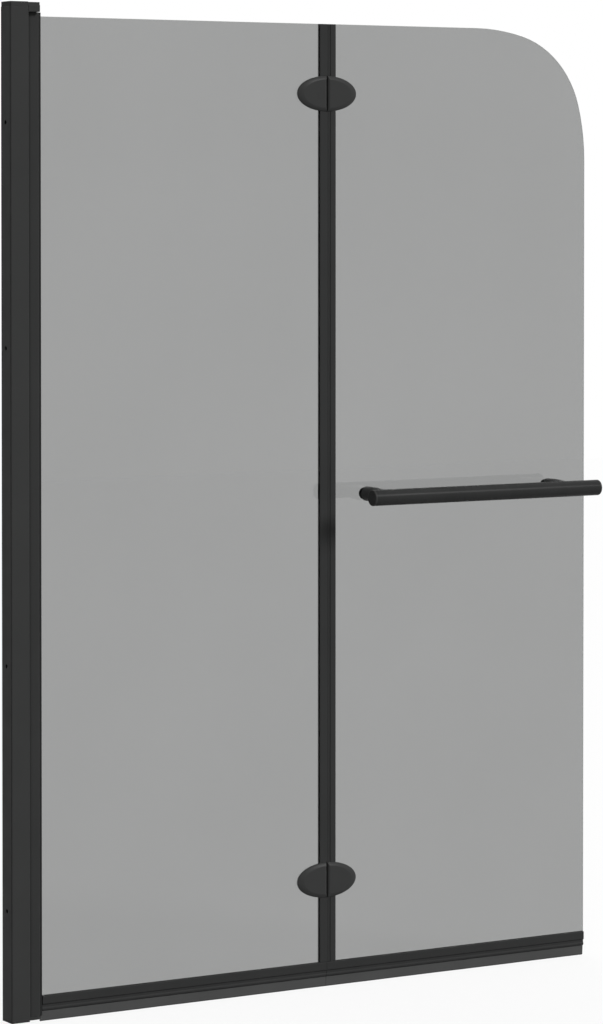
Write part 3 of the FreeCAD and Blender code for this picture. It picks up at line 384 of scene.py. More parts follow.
def use(tree: bpy.types.NodeTree, group: str, **inputs: Any) -> bpy.types.Node:
    """Places a shared node group in a material.

    Args:
        tree: the material's tree.
        group: key of the group.
        **inputs: value, or socket to link, for each input.

    Returns:
        The group's node.
    """
    return add(tree, "Group", inputs, node_tree=GROUPS[group])


def new_material(name: str) -> tuple[bpy.types.Material, bpy.types.NodeTree, bpy.types.NodeSocket]:
    """Starts an empty material.

    Args:
        name: the material's name.

    Returns:
        The material, its tree and its surface socket.
    """
    material = bpy.data.materials.new(name)
    material.use_nodes = True
    tree = material.node_tree
    tree.nodes.clear()
    return material, tree, tree.nodes.new("ShaderNodeOutputMaterial").inputs["Surface"]


def mixed_colour(tree: bpy.types.NodeTree, share: Any, first: Any, second: Any) -> bpy.types.NodeSocket:
    """Mixes two colours.

    Args:
        tree: the material's tree.
        share: value or socket of the second colour's share.
        first: value or socket of the first colour.
        second: value or socket of the second colour.

    Returns:
        The socket of the mixed colour.
    """
    made = add(tree, "Mix", {MIX_SHARE: share, MIX_FIRST: first, MIX_SECOND: second}, data_type="RGBA")
    return made.outputs[MIX_RESULT]


@dataclass(frozen=True)
class SolidFinish:
    """An opaque finish: coat, moulding, rubber or bare metal."""

    name: str
    colour: Colour
    shade: Colour
    # lighter colour of the edges: partly wear, partly a painted highlight on the rounded corners
    rubbed_and_highlight: Colour
    roughness: tuple[float, float]
    grain: Grain
    grain_depth: float
    lines: Lines = Lines.NONE
    line_depth: float = 0.0
    metallic: float = 0.0
    specular: float = 0.04
    edge_radius: float = 0.0004
    # share of that lighter colour at the edges, wear and painted highlight together
    edge_wear_and_highlight: float = 0.35

    def build(self) -> bpy.types.Material:
        """Makes the material: two close colours in slow change, edges lightened partly as wear and partly
        as a painted highlight, grain and drawing lines.

        Returns:
            The material.
        """
        material, tree, surface = new_material(self.name)
        place = add(tree, "TexCoord").outputs["Object"]
        slow = use(tree, "cloud", Place=place, Frequency=SHADE_FREQUENCY, Low=0.0, High=1.0)
        gloss = use(tree, "cloud", Place=place, Frequency=GLOSS_FREQUENCY,
                    Low=self.roughness[0], High=self.roughness[1])
        edge = use(tree, "edge", Place=place, Radius=self.edge_radius, Frequency=WEAR_FREQUENCY)
        base = mixed_colour(tree, slow.outputs["Value"], (*self.colour, 1.0), (*self.shade, 1.0))
        # edges take the lighter colour: partly wear, partly a painted highlight along the corners
        worn_and_highlit = add(tree, "Math", {0: edge.outputs["Mask"], 1: self.edge_wear_and_highlight}, operation="MULTIPLY")
        paint_with_highlight = mixed_colour(tree, worn_and_highlit.outputs[0], base, (*self.rubbed_and_highlight, 1.0))
        skin = use(tree, "grain", Place=place, Frequency=1.0 / self.grain.value)
        normal = add(tree, "Bump", {
            "Height": skin.outputs["Height"], "Strength": GRAIN_STRENGTH, "Distance": self.grain_depth,
            "Normal": edge.outputs["Normal"],
        }).outputs[0]
        if self.lines is not Lines.NONE:
            drawn = use(tree, "lines", Place=place, Stretch=self.lines.value, Frequency=LINE_FREQUENCY)
            normal = add(tree, "Bump", {
                "Height": drawn.outputs["Height"], "Strength": LINE_STRENGTH, "Distance": self.line_depth,
                "Normal": normal,
            }).outputs[0]
        shader = add(tree, "BsdfPrincipled", {
            "Base Color": paint_with_highlight, "Roughness": gloss.outputs["Value"], "Normal": normal,
            "Metallic": self.metallic, "Specular IOR Level": self.specular,
        })
        tree.links.new(shader.outputs[0], surface)
        return material


@dataclass(frozen=True)
class GlassFinish:
    """Smoked toughened glass."""

    name: str
    tint: Colour
    wiped: Colour
    shadow: Colour
    roughness: tuple[float, float]
    ground: float
    refraction: float

    def build(self) -> bpy.types.Material:
        """Makes the material: tinted glass with faint wiping marks and ground edges.

        Its shadow is tinted too.

        Returns:
            The material.
        """
        material, tree, surface = new_material(self.name)
        coordinates = add(tree, "TexCoord").outputs
        place = coordinates["Object"]
        slow = use(tree, "cloud", Place=place, Frequency=TINT_FREQUENCY, Low=0.0, High=1.0)
        marks = use(tree, "cloud", Place=place, Frequency=WIPING_FREQUENCY,
                    Low=self.roughness[0], High=self.roughness[1])
        facing = add(tree, "SeparateXYZ", {0: coordinates["Normal"]})
        flat = add(tree, "Math", {0: facing.outputs["Y"]}, operation="ABSOLUTE")
        edge = add(tree, "MapRange", {
            "Value": flat.outputs[0], "From Min": GROUND_FACING[0], "From Max": GROUND_FACING[1],
            "To Min": self.ground, "To Max": 0.0,
        })
        rough = add(tree, "Math", {0: marks.outputs["Value"], 1: edge.outputs[0]}, operation="MAXIMUM")
        tint = mixed_colour(tree, slow.outputs["Value"], (*self.tint, 1.0), (*self.wiped, 1.0))
        glass = add(tree, "BsdfPrincipled", {
            "Base Color": tint, "Roughness": rough.outputs[0],
            "Metallic": 0.0, "Transmission Weight": 1.0, "IOR": self.refraction,
        })
        clear = add(tree, "BsdfTransparent", {"Color": (*self.shadow, 1.0)})
        shaded = add(tree, "LightPath").outputs["Is Shadow Ray"]
        mixed = add(tree, "MixShader", {0: shaded, 1: glass.outputs[0], 2: clear.outputs[0]})
        tree.links.new(mixed.outputs[0], surface)
        return material


# The channel and the stile take a strong light edge colour: mostly a painted highlight along their rounded
# corners, a little wear.
CHANNEL_COAT = SolidFinish(
    "channel_coat", (0.0410, 0.0417, 0.0413), (0.0440, 0.0447, 0.0443), (0.092, 0.093, 0.092),
    (0.38, 0.48), Grain.COAT, 0.00003, Lines.UPRIGHT, 0.00002, edge_radius=0.0010, edge_wear_and_highlight=0.6)
STILE_COAT = SolidFinish(
    "stile_coat", (0.0360, 0.0366, 0.0363), (0.0390, 0.0396, 0.0393), (0.088, 0.089, 0.088),
    (0.34, 0.44), Grain.COAT, 0.00003, Lines.UPRIGHT, 0.00002, edge_radius=0.0012, edge_wear_and_highlight=0.6)
CAP_NYLON = SolidFinish(
    "cap_nylon", (0.0390, 0.0397, 0.0393), (0.0430, 0.0437, 0.0433), (0.080, 0.080, 0.080),
    (0.48, 0.60), Grain.MOULDED, 0.00006, edge_radius=0.0008, edge_wear_and_highlight=0.5)
SEAL_VINYL = SolidFinish(
    "seal_vinyl", (0.0345, 0.0351, 0.0350), (0.0375, 0.0381, 0.0379), (0.050, 0.050, 0.050),
    (0.42, 0.55), Grain.RUBBER, 0.00003, Lines.UPRIGHT, 0.00003, edge_wear_and_highlight=0.2)
FOOT_VINYL = SolidFinish(
    "foot_vinyl", (0.0325, 0.0331, 0.0330), (0.0360, 0.0366, 0.0364), (0.048, 0.048, 0.048),
    (0.42, 0.55), Grain.RUBBER, 0.00003, Lines.LENGTHWISE, 0.00003, edge_wear_and_highlight=0.2)
BULB_RUBBER = SolidFinish(
    "bulb_rubber", (0.0370, 0.0375, 0.0374), (0.0405, 0.0410, 0.0409), (0.048, 0.048, 0.048),
    (0.50, 0.62), Grain.RUBBER, 0.00004, Lines.UPRIGHT, 0.00003, edge_wear_and_highlight=0.2)
WIPER_RUBBER = SolidFinish(
    "wiper_rubber", (0.0750, 0.0759, 0.0755), (0.0850, 0.0859, 0.0855), (0.096, 0.096, 0.096),
    (0.45, 0.60), Grain.RUBBER, 0.00004, Lines.LENGTHWISE, 0.00003, edge_wear_and_highlight=0.2)
GASKET_RUBBER = SolidFinish(
    "gasket_rubber", (0.0200, 0.0205, 0.0204), (0.0235, 0.0240, 0.0239), (0.032, 0.032, 0.032),
    (0.55, 0.70), Grain.RUBBER, 0.00005, edge_wear_and_highlight=0.2)
HINGE_COAT = SolidFinish(
    "hinge_coat", (0.0425, 0.0432, 0.0428), (0.0460, 0.0467, 0.0463), (0.070, 0.070, 0.069),
    (0.27, 0.35), Grain.COAT, 0.00002)
RAIL_COAT = SolidFinish(
    "rail_coat", (0.0300, 0.0306, 0.0303), (0.0335, 0.0341, 0.0338), (0.062, 0.062, 0.061),
    (0.24, 0.31), Grain.COAT, 0.00002)
# Caps, posts and nuts: a lighter black than the bar, painted light standing in for the light their end
# faces miss.
POST_COAT_PAINTED_LIGHT = SolidFinish(
    "post_coat_painted_light", (0.0480, 0.0487, 0.0483), (0.0520, 0.0527, 0.0523), (0.075, 0.075, 0.074),
    (0.32, 0.42), Grain.COAT, 0.00002)
SCREW_OXIDE = SolidFinish(
    "screw_oxide", (0.0300, 0.0300, 0.0310), (0.0400, 0.0400, 0.0410), (0.120, 0.120, 0.120),
    (0.32, 0.45), Grain.METAL, 0.00002, metallic=0.7, edge_radius=0.0002)
PIN_STEEL = SolidFinish(
    "pin_steel", (0.5600, 0.5650, 0.5700), (0.6200, 0.6250, 0.6300), (0.720, 0.720, 0.720),
    (0.24, 0.36), Grain.METAL, 0.00001, Lines.UPRIGHT, 0.00002, metallic=1.0, edge_radius=0.0002)
BUSH_NYLON = SolidFinish(
    "bush_nylon", (0.0240, 0.0240, 0.0240), (0.0300, 0.0300, 0.0300), (0.050, 0.050, 0.050),
    (0.40, 0.52), Grain.MOULDED, 0.00003, edge_radius=0.0002)
SMOKED_GLASS = GlassFinish(
    "smoked_glass", (0.318, 0.322, 0.320), (0.330, 0.334, 0.332), (0.330, 0.334, 0.332),
    (0.0, 0.012), ground=0.25, refraction=1.46)

SOFT_SLOTS = {
    "black_gasket": GASKET_RUBBER,
    "soft_seal": BULB_RUBBER,
    "wiper_rubber": WIPER_RUBBER,
}
MADE: dict[str, bpy.types.Material] = {}


def material_of(finish: SolidFinish | GlassFinish) -> bpy.types.Material:
    """The finish's material, made at its first use."""
    if finish.name not in MADE:
        MADE[finish.name] = finish.build()
    return MADE[finish.name]


def dress(node: str, finish: SolidFinish | GlassFinish) -> None:
    """Gives a solid of the frame its finish.

    Args:
        node: name of the solid.
        finish: the finish that it takes.
    """
    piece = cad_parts[node]
    for slot in piece.material_slots:
        slot.material = material_of(finish)
    log.info("%s wears %s", node, finish.name)


def fit(piece: bpy.types.Object, node: str, body: str, slot: str) -> None:
    """Puts a new piece in the place of a soft solid.

    Args:
        piece: the new piece.
        node: name of the solid that it stands for.
        body: body that carries it.
        slot: material slot of the record that it takes its finish from.
    """
    finish = SOFT_SLOTS[slot]
    piece.data.materials.append(material_of(finish))
    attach(piece, body)
    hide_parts(node)
    log.info("%s stands for %s in %s", piece.name, node, finish.name)


# sub-assemblies


def span(node: str) -> tuple[Array, Array]:
    """Lowest and highest corner of a solid of the frame."""
    low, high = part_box(node)
    return np.array(low), np.array(high)


@dataclass
class WallFrame:
    """Channel on the wall, adjuster, lock screws, end caps and pivot pins."""

    coats: dict[str, SolidFinish] = field(default_factory=lambda: {
        "wall_channel": CHANNEL_COAT,
        "adjuster_profile": STILE_COAT,
        "lock_screws": SCREW_OXIDE,
        "top_pivot_cap": CAP_NYLON,
        "bottom_pivot_cap": CAP_NYLON,
        "top_pivot_pin": PIN_STEEL,
        "bottom_pivot_pin": PIN_STEEL,
    })

    def build(self) -> None:
        """Dresses the solids that stay on the wall."""
        for node, finish in self.coats.items():
            dress(node, finish)


@dataclass
class InnerPanel:
    """Stile with its gasket and bushes, and the pane between the stile and the fold."""

    lip_round: float = 1.6 * MM
    lip_tip: float = 0.35
    lip_rows: int = 15
    wall_steps: int = 7
    stations: int = 24
    glass_half: float = 2.5 * MM

    def gasket(self) -> bpy.types.Object:
        """Rubber channel round the upright edge of the pane, with soft lips that stand out of the stile.

        The outer and the inner line of the channel are paired points of a U, carried up the stile. Towards
        the mouth the lip's thickness falls to its tip by a quarter of an ellipse.

        Returns:
            The gasket.
        """
        low, high = span("glazing_gasket")
        wall = high[1] - self.glass_half
        along = 1.0 - (1.0 - np.linspace(0.0, 1.0, self.lip_rows)) ** 2
        side_x = low[0] + wall + (high[0] - low[0] - wall) * along
        outer_x = low[0] + (high[0] - low[0]) * along
        near = np.clip((outer_x - high[0]) / self.lip_round + 1.0, 0.0, 1.0)
        thick = wall * (self.lip_tip + (1.0 - self.lip_tip) * np.sqrt(1.0 - near ** 2))
        depth = self.glass_half + thick
        turn = np.linspace(-1.0, 1.0, self.wall_steps)[1:-1]
        inner = np.concatenate([
            np.stack([side_x[::-1], np.full(self.lip_rows, -self.glass_half)], axis=1),
            np.stack([np.full(len(turn), low[0] + wall), turn * self.glass_half], axis=1),
            np.stack([side_x, np.full(self.lip_rows, self.glass_half)], axis=1),
        ])
        outer = np.concatenate([
            np.stack([outer_x[::-1], -depth[::-1]], axis=1),
            np.stack([np.full(len(turn), low[0]), turn * high[1]], axis=1),
            np.stack([outer_x, depth], axis=1),
        ])
        levels = np.linspace(low[2], high[2], self.stations)
        return joined("stile_gasket", [carried(outer, inner, levels)])

    def build(self) -> None:
        """Dresses the stile, the bushes and the pane, and fits the gasket."""
        dress("stile", STILE_COAT)
        dress("top_pivot_bush", BUSH_NYLON)
        dress("bottom_pivot_bush", BUSH_NYLON)
        dress("inner_glass", SMOKED_GLASS)
        fit(self.gasket(), "glazing_gasket", "inner_panel", "black_gasket")


@dataclass
class FoldSeals:
    """Upright seals along the fold: a clip on each pane, and the bulb that closes the gap."""

    bulb_wall: float = 0.9 * MM
    bulb_swell: float = 0.45 * MM
    bulb_corner: float = 1.5 * MM
    front_window: tuple[float, float] = (49.4 * MM, 25.6 * MM)
    rear_window: tuple[float, float] = (42.2 * MM, 22.2 * MM)
    around: int = 48
    stations: int = 60
    ripple: float = 0.12 * MM
    ripple_waves: tuple[float, float] = (61.0, 17.0)

    def window(self, line: Array, fold: float) -> Array:
        """Half height of a hinge's oval opening, wider in front than behind.

        It is the oval's half height times sqrt(1 - (distance from the fold / half width)^2).

        Args:
            line: X and Y of the points.
            fold: X of the fold line.

        Returns:
            One half height for each point.
        """
        width, height = (np.where(line[:, 1] < 0, front, rear)
                         for front, rear in zip(self.front_window, self.rear_window))
        return height * np.sqrt(1.0 - ((line[:, 0] - fold) / width) ** 2)

    def bulb(self) -> bpy.types.Object:
        """Hollow bulb in three lengths between the hinges, with a faint ripple along it.

        The section is a box with round corners and an even wall, swollen until it meets the other pane's
        clip. A length runs from one oval opening to the next, so its ends follow the ovals.

        Returns:
            The bulb.
        """
        low, high = span("fold_bulb")
        high[0] += self.bulb_swell
        fold = (span("upper_hinge_inner_cover")[1][0] + span("upper_hinge_outer_cover")[0][0]) / 2
        centres = [np.mean([corner[2] for corner in span(f"{name}_hinge_inner_cover")])
                   for name in ("lower", "upper")]
        outer = rounded_loop(low[:2], high[:2], self.bulb_corner, self.around)
        inner = rounded_loop(low[:2] + self.bulb_wall, high[:2] - self.bulb_wall,
                             self.bulb_corner - self.bulb_wall, self.around)
        opening = self.window(outer, fold)
        flat = np.ones(self.around)
        ends = [
            (low[2] * flat, centres[0] - opening),
            (centres[0] + opening, centres[1] - opening),
            (centres[1] + opening, high[2] * flat),
        ]
        share = np.linspace(0.0, 1.0, self.stations)[:, None]
        shells = []
        for bottom, top in ends:
            heights = bottom + (top - bottom) * share
            points, faces = carried(outer, inner, heights, closed=True)
            fine, slow = (points[:, 2] * wave for wave in self.ripple_waves)
            dent = (1.0 + np.sin(fine) * np.sin(slow + 1.0)) / 2
            points[:, 0] -= self.ripple * dent * (points[:, 0] > (low[0] + high[0]) / 2)
            shells.append((points, faces))
        return joined("fold_bulb_soft", shells)

    def build(self) -> None:
        """Dresses the two clips and fits the bulb."""
        dress("fold_clip", SEAL_VINYL)
        dress("stop_clip", SEAL_VINYL)
        fit(self.bulb(), "fold_bulb", "inner_panel", "soft_seal")


@dataclass
class BottomSeals:
    """Clip under each pane and the soft wiper that hangs in it."""

    shoulder_drop: float = 5.95 * MM
    neck_half: float = 1.25 * MM
    fin_half: float = 1.7 * MM
    tip_half: float = 0.75 * MM
    wave_depth: float = 0.35 * MM
    wave_length: float = 0.21
    wave_shares: tuple[float, float] = (0.6, 0.4)
    wave_ratio: float = 2.7
    tip_steepness: float = 12.0
    foot_gap: float = 0.5 * MM
    head_rows: int = 12
    fin_rows: int = 14
    stations: int = 120
    bodies: dict[str, str] = field(default_factory=lambda: {
        "inner": "inner_panel",
        "outer": "folding_panel",
    })

    def half_section(self, low: Array, high: Array) -> Array:
        """Half depth of the wiper against height: a round head, a neck, and a fin with a thin round tip.

        Args:
            low: lowest corner of the wiper's solid.
            high: highest corner of the wiper's solid.

        Returns:
            Half depth and height for each point, from the tip to the head.
        """
        radius = high[1]
        centre = high[2] - radius
        shoulder = high[2] - self.shoulder_drop
        rise = np.linspace(0.0, 1.0, self.fin_rows)
        fin = self.tip_half + (self.fin_half - self.tip_half) * rise
        fin *= np.sqrt(1.0 - (1.0 - np.clip(rise * self.tip_steepness, 0.0, 1.0)) ** 2)
        start = math.pi - math.asin(self.neck_half / radius)
        turn = np.linspace(start, 0.0, self.head_rows)
        head = np.stack([radius * np.sin(turn), centre + radius * np.cos(turn)], axis=1)
        neck = np.array([[self.neck_half, shoulder + (self.fin_half - self.neck_half)]])
        body = np.stack([fin, low[2] + (shoulder - low[2]) * rise], axis=1)
        return np.concatenate([body, neck, head])

    def starts(self, pane: str, heights: Array) -> Array:
        """X where the wiper starts: at its clip, but under the stile the inner fin runs on to the foot.

        Args:
            pane: inner or outer.
            heights: heights of the section's points.

        Returns:
            One X for each height.
        """
        clip = span(f"{pane}_seal_wiper")[0][0]
        if pane == "outer":
            return np.full(len(heights), clip)
        stile_end = span("glazing_gasket")[0][2] - self.foot_gap
        foot_end = span("bottom_pivot_cap")[1][0] + self.foot_gap
        return np.where(heights < stile_end, foot_end, clip)

    def wiper(self, pane: str) -> bpy.types.Object:
        """Soft fin along the bottom of a pane. Its free edge strays from a straight line by a slow wave.

        The half depth is taken to both sides of a line that leaves the middle by depth times the square of
        the way down times a sum of two sines along X.

        Args:
            pane: inner or outer.

        Returns:
            The wiper.
        """
        low, high = span(f"{pane}_seal_wiper")
        section = self.half_section(low, high)
        start = self.starts(pane, section[:, 1])
        x = start + (high[0] - start) * np.linspace(0.0, 1.0, self.stations)[:, None]
        shoulder = high[2] - self.shoulder_drop
        down = np.clip((shoulder - section[:, 1]) / (shoulder - low[2]), 0.0, 1.0)
        phase = x / self.wave_length * FULL_TURN
        long, short = self.wave_shares
        wave = long * np.sin(phase) + short * np.sin(phase * self.wave_ratio + 1.0)
        sway = self.wave_depth * wave * down ** 2
        z = np.broadcast_to(section[:, 1], x.shape)
        front = np.stack([x, sway - section[:, 0], z], axis=2)
        back = np.stack([x, sway + section[:, 0], z], axis=2)
        return joined(f"{pane}_wiper_soft", [slab(front[:, ::-1], back[:, ::-1])])

    def build(self) -> None:
        """Dresses the clips and fits the wipers."""
        for pane, body in self.bodies.items():
            dress(f"{pane}_seal_clip", FOOT_VINYL)
            fit(self.wiper(pane), f"{pane}_seal_wiper", body, "wiper_rubber")


@dataclass
class FoldHinges:
    """Two oval hinges: covers, pads, leaves, pins, bushes and screws on both sides of the fold."""

    cover_axes: tuple[float, float] = (49.2 * MM, 25.4 * MM)
    leaf_axes: tuple[float, float] = (42.0 * MM, 22.0 * MM)
    split: float = 0.8 * MM
    screw_x: float = 25.0 * MM
    screw_z: float = 10.5 * MM
    hole: float = 6.0 * MM
    edge: float = 0.4 * MM
    edge_share: float = 0.35
    around: int = 96
    across: int = 9

    def outline(self, axes: Array, centre: Array, way: Array) -> Array:
        """Distance from a screw to the edge of its quarter of the oval, in each direction.

        A ray meets the split line, the middle line and the oval. The nearest meeting counts: for the lines
        it is the gap over the ray's share of that axis, for the oval the root of a quadratic.

        Args:
            axes: half width and half height of the oval.
            centre: X and Z of the screw from the oval's centre, both positive.
            way: direction of each ray in X and Z.

        Returns:
            One distance for each direction.
        """
        a = ((way / axes) ** 2).sum(axis=1)
        b = ((way / axes) * (centre / axes)).sum(axis=1)
        c = ((centre / axes) ** 2).sum() - 1.0
        reach = (-b + np.sqrt(b * b - a * c)) / a
        with np.errstate(divide="ignore"):
            to_split = np.where(way[:, 0] < 0, (self.split - centre[0]) / way[:, 0], np.inf)
            to_middle = np.where(way[:, 1] < 0, -centre[1] / way[:, 1], np.inf)
        return np.minimum(reach, np.minimum(to_split, to_middle))

    def pad(self, place: str, pane: str, side: int) -> bpy.types.Object:
        """Soft pads of one hinge half, front and back, each in two quarters round its screw holes.

        A quarter is a flat ring from the hole to its edge, and its faces meet at the edge in a half round.

        Args:
            place: upper or lower.
            pane: inner or outer.
            side: -1 for the inner pane, 1 for the outer one.

        Returns:
            The pads.
        """
        node = f"{place}_hinge_{pane}_pads"
        low, high = span(node)
        fold = (low[0] if side > 0 else high[0]) - self.split * side
        level = (low[2] + high[2]) / 2
        glass = span("inner_glass")[1][1]
        angle = np.arange(self.around) * (FULL_TURN / self.around)
        way = np.stack([np.cos(angle), np.sin(angle)], axis=1)
        centre = np.array([self.screw_x, self.screw_z])
        share = 1.0 - (1.0 - np.linspace(0.0, 1.0, self.across)) ** 2
        shells = []
        layers = ((self.cover_axes, low[1], -glass), (self.leaf_axes, glass, high[1]))
        for axes, face_low, face_high in layers:
            reach = self.outline(np.array(axes), centre, way)
            distance = self.hole + (reach - self.hole) * share[:, None]
            flat = centre + distance[..., None] * way
            inset = np.clip((reach - distance) / self.edge, 0.0, 1.0)
            plump = np.sqrt(np.clip(1.0 - (1.0 - inset) ** 2, 0.0, 1.0))
            middle, half = (face_low + face_high) / 2, (face_high - face_low) / 2
            thick = half * (self.edge_share + (1.0 - self.edge_share) * plump)
            for upward in (-1, 1):
                x = fold + flat[..., 0] * side
                z = level + flat[..., 1] * upward
                faces = [np.stack([x, middle + way_out * thick, z], axis=2) for way_out in (-1, 1)]
                if side * upward < 0:
                    faces.reverse()
                shells.append(slab(faces[1], faces[0], closed=True))
        return joined(f"{place}_{pane}_hinge_pads_soft", shells)

    def build(self) -> None:
        """Dresses the metal and the bushes, and fits the pads."""
        for place in ("upper", "lower"):
            for pane, side, body in (("inner", -1, "inner_panel"), ("outer", 1, "folding_panel")):
                dress(f"{place}_hinge_{pane}_cover", HINGE_COAT)
                dress(f"{place}_hinge_{pane}_leaf", HINGE_COAT)
                fit(self.pad(place, pane, side), f"{place}_hinge_{pane}_pads", body, "black_gasket")
            dress(f"{place}_hinge_pin", PIN_STEEL)
            dress(f"{place}_hinge_bush", BUSH_NYLON)
        dress("hinge_inner_screws", SCREW_OXIDE)
        dress("hinge_outer_screws", SCREW_OXIDE)


@dataclass
class TowelRail:
    """Bar on two posts, bolted through the outer pane with soft washers."""

    flange: float = 1.0 * MM
    spigot_radius: float = 4.9 * MM
    hole_radius: float = 3.1 * MM
    edge: float = 0.45 * MM
    rim_steps: int = 9
    stations: int = 72

    def washers(self, side: str, direction: int) -> bpy.types.Object:
        """Soft washers of both posts on one face of the pane, with a spigot in the glass.

        The section is a closed line of distance from the glass and radius, carried round each post. The
        flange's rim is a half round.

        Args:
            side: front or back.
            direction: -1 for the front, 1 for the back.

        Returns:
            The washers.
        """
        low, high = span(f"rail_{side}_grommets")
        glass = span("outer_glass")[1][1]
        radius = (high[2] - low[2]) / 2
        level = (high[2] + low[2]) / 2
        depth = glass - abs(low[1] if direction > 0 else high[1])
        rim = np.linspace(-math.pi / 2, math.pi / 2, self.rim_steps)
        bulge = np.stack([
            self.flange / 2 * (1 + np.sin(rim)), radius - self.edge + self.edge * np.cos(rim),
        ], axis=1)
        section = np.concatenate([
            [[-depth, self.hole_radius], [-depth, self.spigot_radius], [0.0, self.spigot_radius]],
            bulge,
            [[self.flange, self.hole_radius]],
        ])
        turn = np.arange(self.stations) * (FULL_TURN / self.stations)
        shells = []
        for x in (low[0] + radius, high[0] - radius):
            loops = np.stack([
                x + np.outer(np.cos(turn), section[:, 1]),
                np.broadcast_to(direction * (glass + section[:, 0]), (self.stations, len(section))),
                level + np.outer(np.sin(turn), section[:, 1]),
            ], axis=2)
            shells.append(ring(loops if direction > 0 else loops[:, ::-1]))
        return joined(f"rail_{side}_washers_soft", shells)

    def build(self) -> None:
        """Dresses the metal and fits the washers."""
        dress("towel_bar", RAIL_COAT)
        for post in ("inner", "outer"):
            # caps, posts and nuts take a lighter coat than the bar: painted light on faces turned away
            # from the lamps
            for node in (f"{post}_bar_cap", f"{post}_rail_post", f"{post}_rail_nut"):
                dress(node, POST_COAT_PAINTED_LIGHT)
        dress("rail_studs", PIN_STEEL)
        fit(self.washers("front", -1), "rail_front_grommets", "folding_panel", "black_gasket")
        fit(self.washers("back", 1), "rail_back_grommets", "folding_panel", "black_gasket")


@dataclass
class FoldingPanel:
    """Pane beyond the fold."""

    def build(self) -> None:
        """Dresses the pane."""
        dress("outer_glass", SMOKED_GLASS)


@dataclass(frozen=True)
class Lamp:
    """A soft lamp far away.

    It has the width of its disc in degrees, the way to it, and whether it mirrors in gloss.
    """

    name: str
    strength: float
    width: float
    way: Point
    mirrored: bool = True


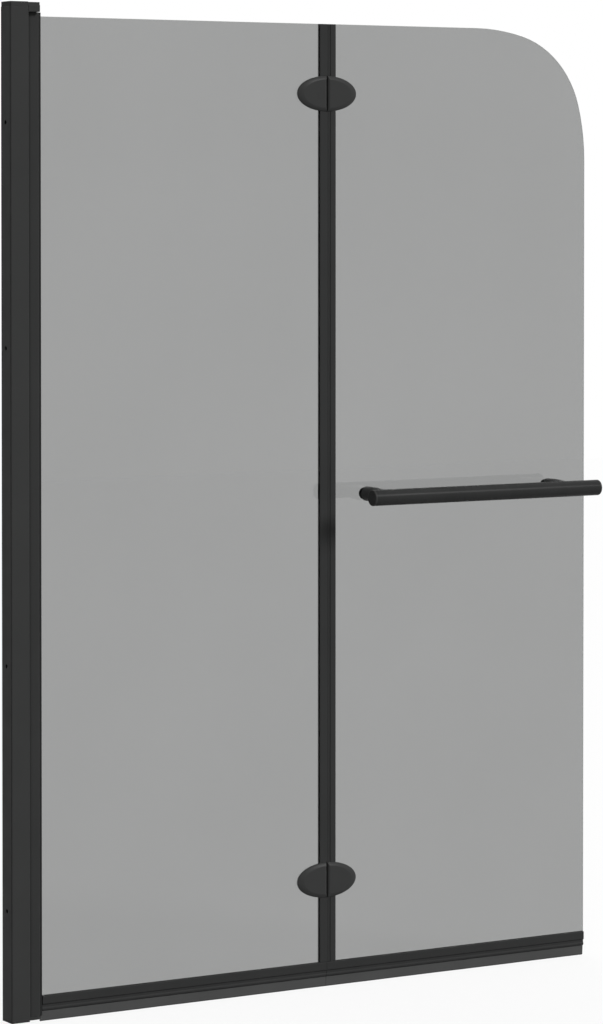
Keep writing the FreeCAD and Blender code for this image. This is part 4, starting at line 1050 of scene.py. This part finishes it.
@dataclass
class Studio:
    """Pale floor, soft light and the camera."""

    floor_level: float = -0.7050
    floor_half: float = 9.0
    floor_glow: float = 0.87
    floor_colour: Colour = (0.112, 0.112, 0.112)
    bounce_colour: Colour = (0.28, 0.28, 0.28)
    sky_levels: tuple[tuple[float, float], ...] = (
        (0.0, 0.03), (0.42, 0.20), (0.58, 0.50), (1.0, 0.85))
    sky_sides: tuple[float, float] = (0.40, 1.20)
    key: Lamp = Lamp("soft_key", 2.0, 17.0, (0.42, -0.74, 0.52))
    fill: Lamp = Lamp("soft_fill", 1.2, 60.0, (0.30, 0.85, 0.42), mirrored=False)
    camera_place: Point = (-2.39599, -4.75300, 0.43537)
    camera_turn: tuple[float, float, float] = (-31.1082, 1.3492, 0.0016)
    sensor: float = 36.0
    lens: float = 136.5153
    shift: float = -0.22
    sight: float = 60.0

    def floor(self) -> None:
        """Wide pale floor under the wipers that shows white and keeps the screen's shadow."""
        half = self.floor_half
        corners = np.array([[-half, -half], [half, -half], [half, half], [-half, half]])
        points = np.concatenate([corners, np.full((4, 1), self.floor_level)], axis=1)
        plane = put_faces("studio_floor", points, np.array([[0, 1, 2, 3]]))
        material, tree, surface = new_material("floor_pale")
        seen = self.seen_ray(tree)
        bounce = add(tree, "BsdfDiffuse", {"Color": (*self.bounce_colour, 1.0)})
        lit = add(tree, "BsdfDiffuse", {"Color": (*self.floor_colour, 1.0)})
        glow = add(tree, "Emission", {"Color": WHITE, "Strength": self.floor_glow})
        shown = add(tree, "AddShader", {0: lit.outputs[0], 1: glow.outputs[0]})
        mixed = add(tree, "MixShader", {0: seen, 1: bounce.outputs[0], 2: shown.outputs[0]})
        tree.links.new(mixed.outputs[0], surface)
        plane.data.materials.append(material)

    @staticmethod
    def seen_ray(tree: bpy.types.NodeTree) -> bpy.types.NodeSocket:
        """Is 1 for what the camera sees, straight, through the glass or mirrored in a gloss."""
        path = add(tree, "LightPath").outputs
        clear = add(tree, "Math", {0: path["Is Camera Ray"], 1: path["Is Transmission Ray"]},
                    operation="MAXIMUM")
        shown = add(tree, "Math", {0: clear.outputs[0], 1: path["Is Glossy Ray"]}, operation="MAXIMUM")
        return shown.outputs[0]

    def sky(self) -> None:
        """Soft light from all round, brighter from above and away from the wall, that shows as white."""
        world = bpy.data.worlds.new("studio")
        bpy.context.scene.world = world
        world.use_nodes = True
        tree = world.node_tree
        tree.nodes.clear()
        way = add(tree, "TexCoord").outputs["Generated"]
        parts = add(tree, "SeparateXYZ", {0: way})
        rise = add(tree, "MapRange", {"Value": parts.outputs["Z"], "From Min": -1.0, "From Max": 1.0})
        ramp = add(tree, "ValToRGB", {0: rise.outputs[0]})
        stops = ramp.color_ramp.elements
        for position, _ in self.sky_levels[len(stops):]:
            stops.new(position)
        for stop, (position, level) in zip(stops, self.sky_levels):
            stop.position = position
            stop.color = (level, level, level, 1.0)
        aside = add(tree, "MapRange", {
            "Value": parts.outputs["X"], "From Min": -1.0, "From Max": 1.0,
            "To Min": self.sky_sides[0], "To Max": self.sky_sides[1],
        })
        soft = add(tree, "Background", {"Color": ramp.outputs[0], "Strength": aside.outputs[0]})
        white = add(tree, "Background", {"Color": WHITE, "Strength": 1.0})
        mixed = add(tree, "MixShader", {0: self.seen_ray(tree), 1: soft.outputs[0], 2: white.outputs[0]})
        out = tree.nodes.new("ShaderNodeOutputWorld")
        tree.links.new(mixed.outputs[0], out.inputs["Surface"])

    def lamps(self) -> None:
        """Soft key from above on the rail's side, and a wide weaker fill on the folding side.

        Neither lamp's disc shows through the glass.
        """
        for lamp in (self.key, self.fill):
            data = bpy.data.lights.new(lamp.name, "SUN")
            data.energy = lamp.strength
            data.angle = math.radians(lamp.width)
            made = bpy.data.objects.new(lamp.name, data)
            made.rotation_euler = Vector(lamp.way).to_track_quat("Z", "Y").to_euler()
            made.visible_transmission = False
            made.visible_glossy = lamp.mirrored
            bpy.context.scene.collection.objects.link(made)

    def camera(self) -> None:
        """Camera at the photograph's place: looking back along its turn, with a shifted frame."""
        azimuth, elevation, roll = (math.radians(value) for value in self.camera_turn)
        back = Vector((math.sin(azimuth) * math.cos(elevation), -math.cos(azimuth) * math.cos(elevation),
                       math.sin(elevation)))
        level = Vector((math.cos(azimuth), math.sin(azimuth), 0.0))
        above = back.cross(level)
        right = level * math.cos(roll) + above * math.sin(roll)
        up = above * math.cos(roll) - level * math.sin(roll)
        data = bpy.data.cameras.new("view")
        data.sensor_width = self.sensor
        data.lens = self.lens
        data.shift_y = self.shift
        data.clip_end = self.sight
        made = bpy.data.objects.new("view", data)
        turn = Matrix((right, up, back)).transposed().to_4x4()
        made.matrix_world = Matrix.Translation(self.camera_place) @ turn
        bpy.context.scene.collection.objects.link(made)
        bpy.context.scene.camera = made

    def build(self) -> None:
        """Sets up the floor, the light and the camera."""
        bpy.context.scene.view_settings.view_transform = "Standard"
        self.floor()
        self.sky()
        self.lamps()
        self.camera()


def main() -> None:
    """Builds the studio and the sub-assemblies in order."""
    logging.basicConfig(level=logging.INFO, format="%(name)s: %(message)s")
    parts = (
        Studio(), WallFrame(), InnerPanel(), FoldSeals(), FoldingPanel(), BottomSeals(), FoldHinges(),
        TowelRail(),
    )
    for part in parts:
        part.build()
        log.info("%s is built", type(part).__name__)


if __name__ == "__main__":
    main()
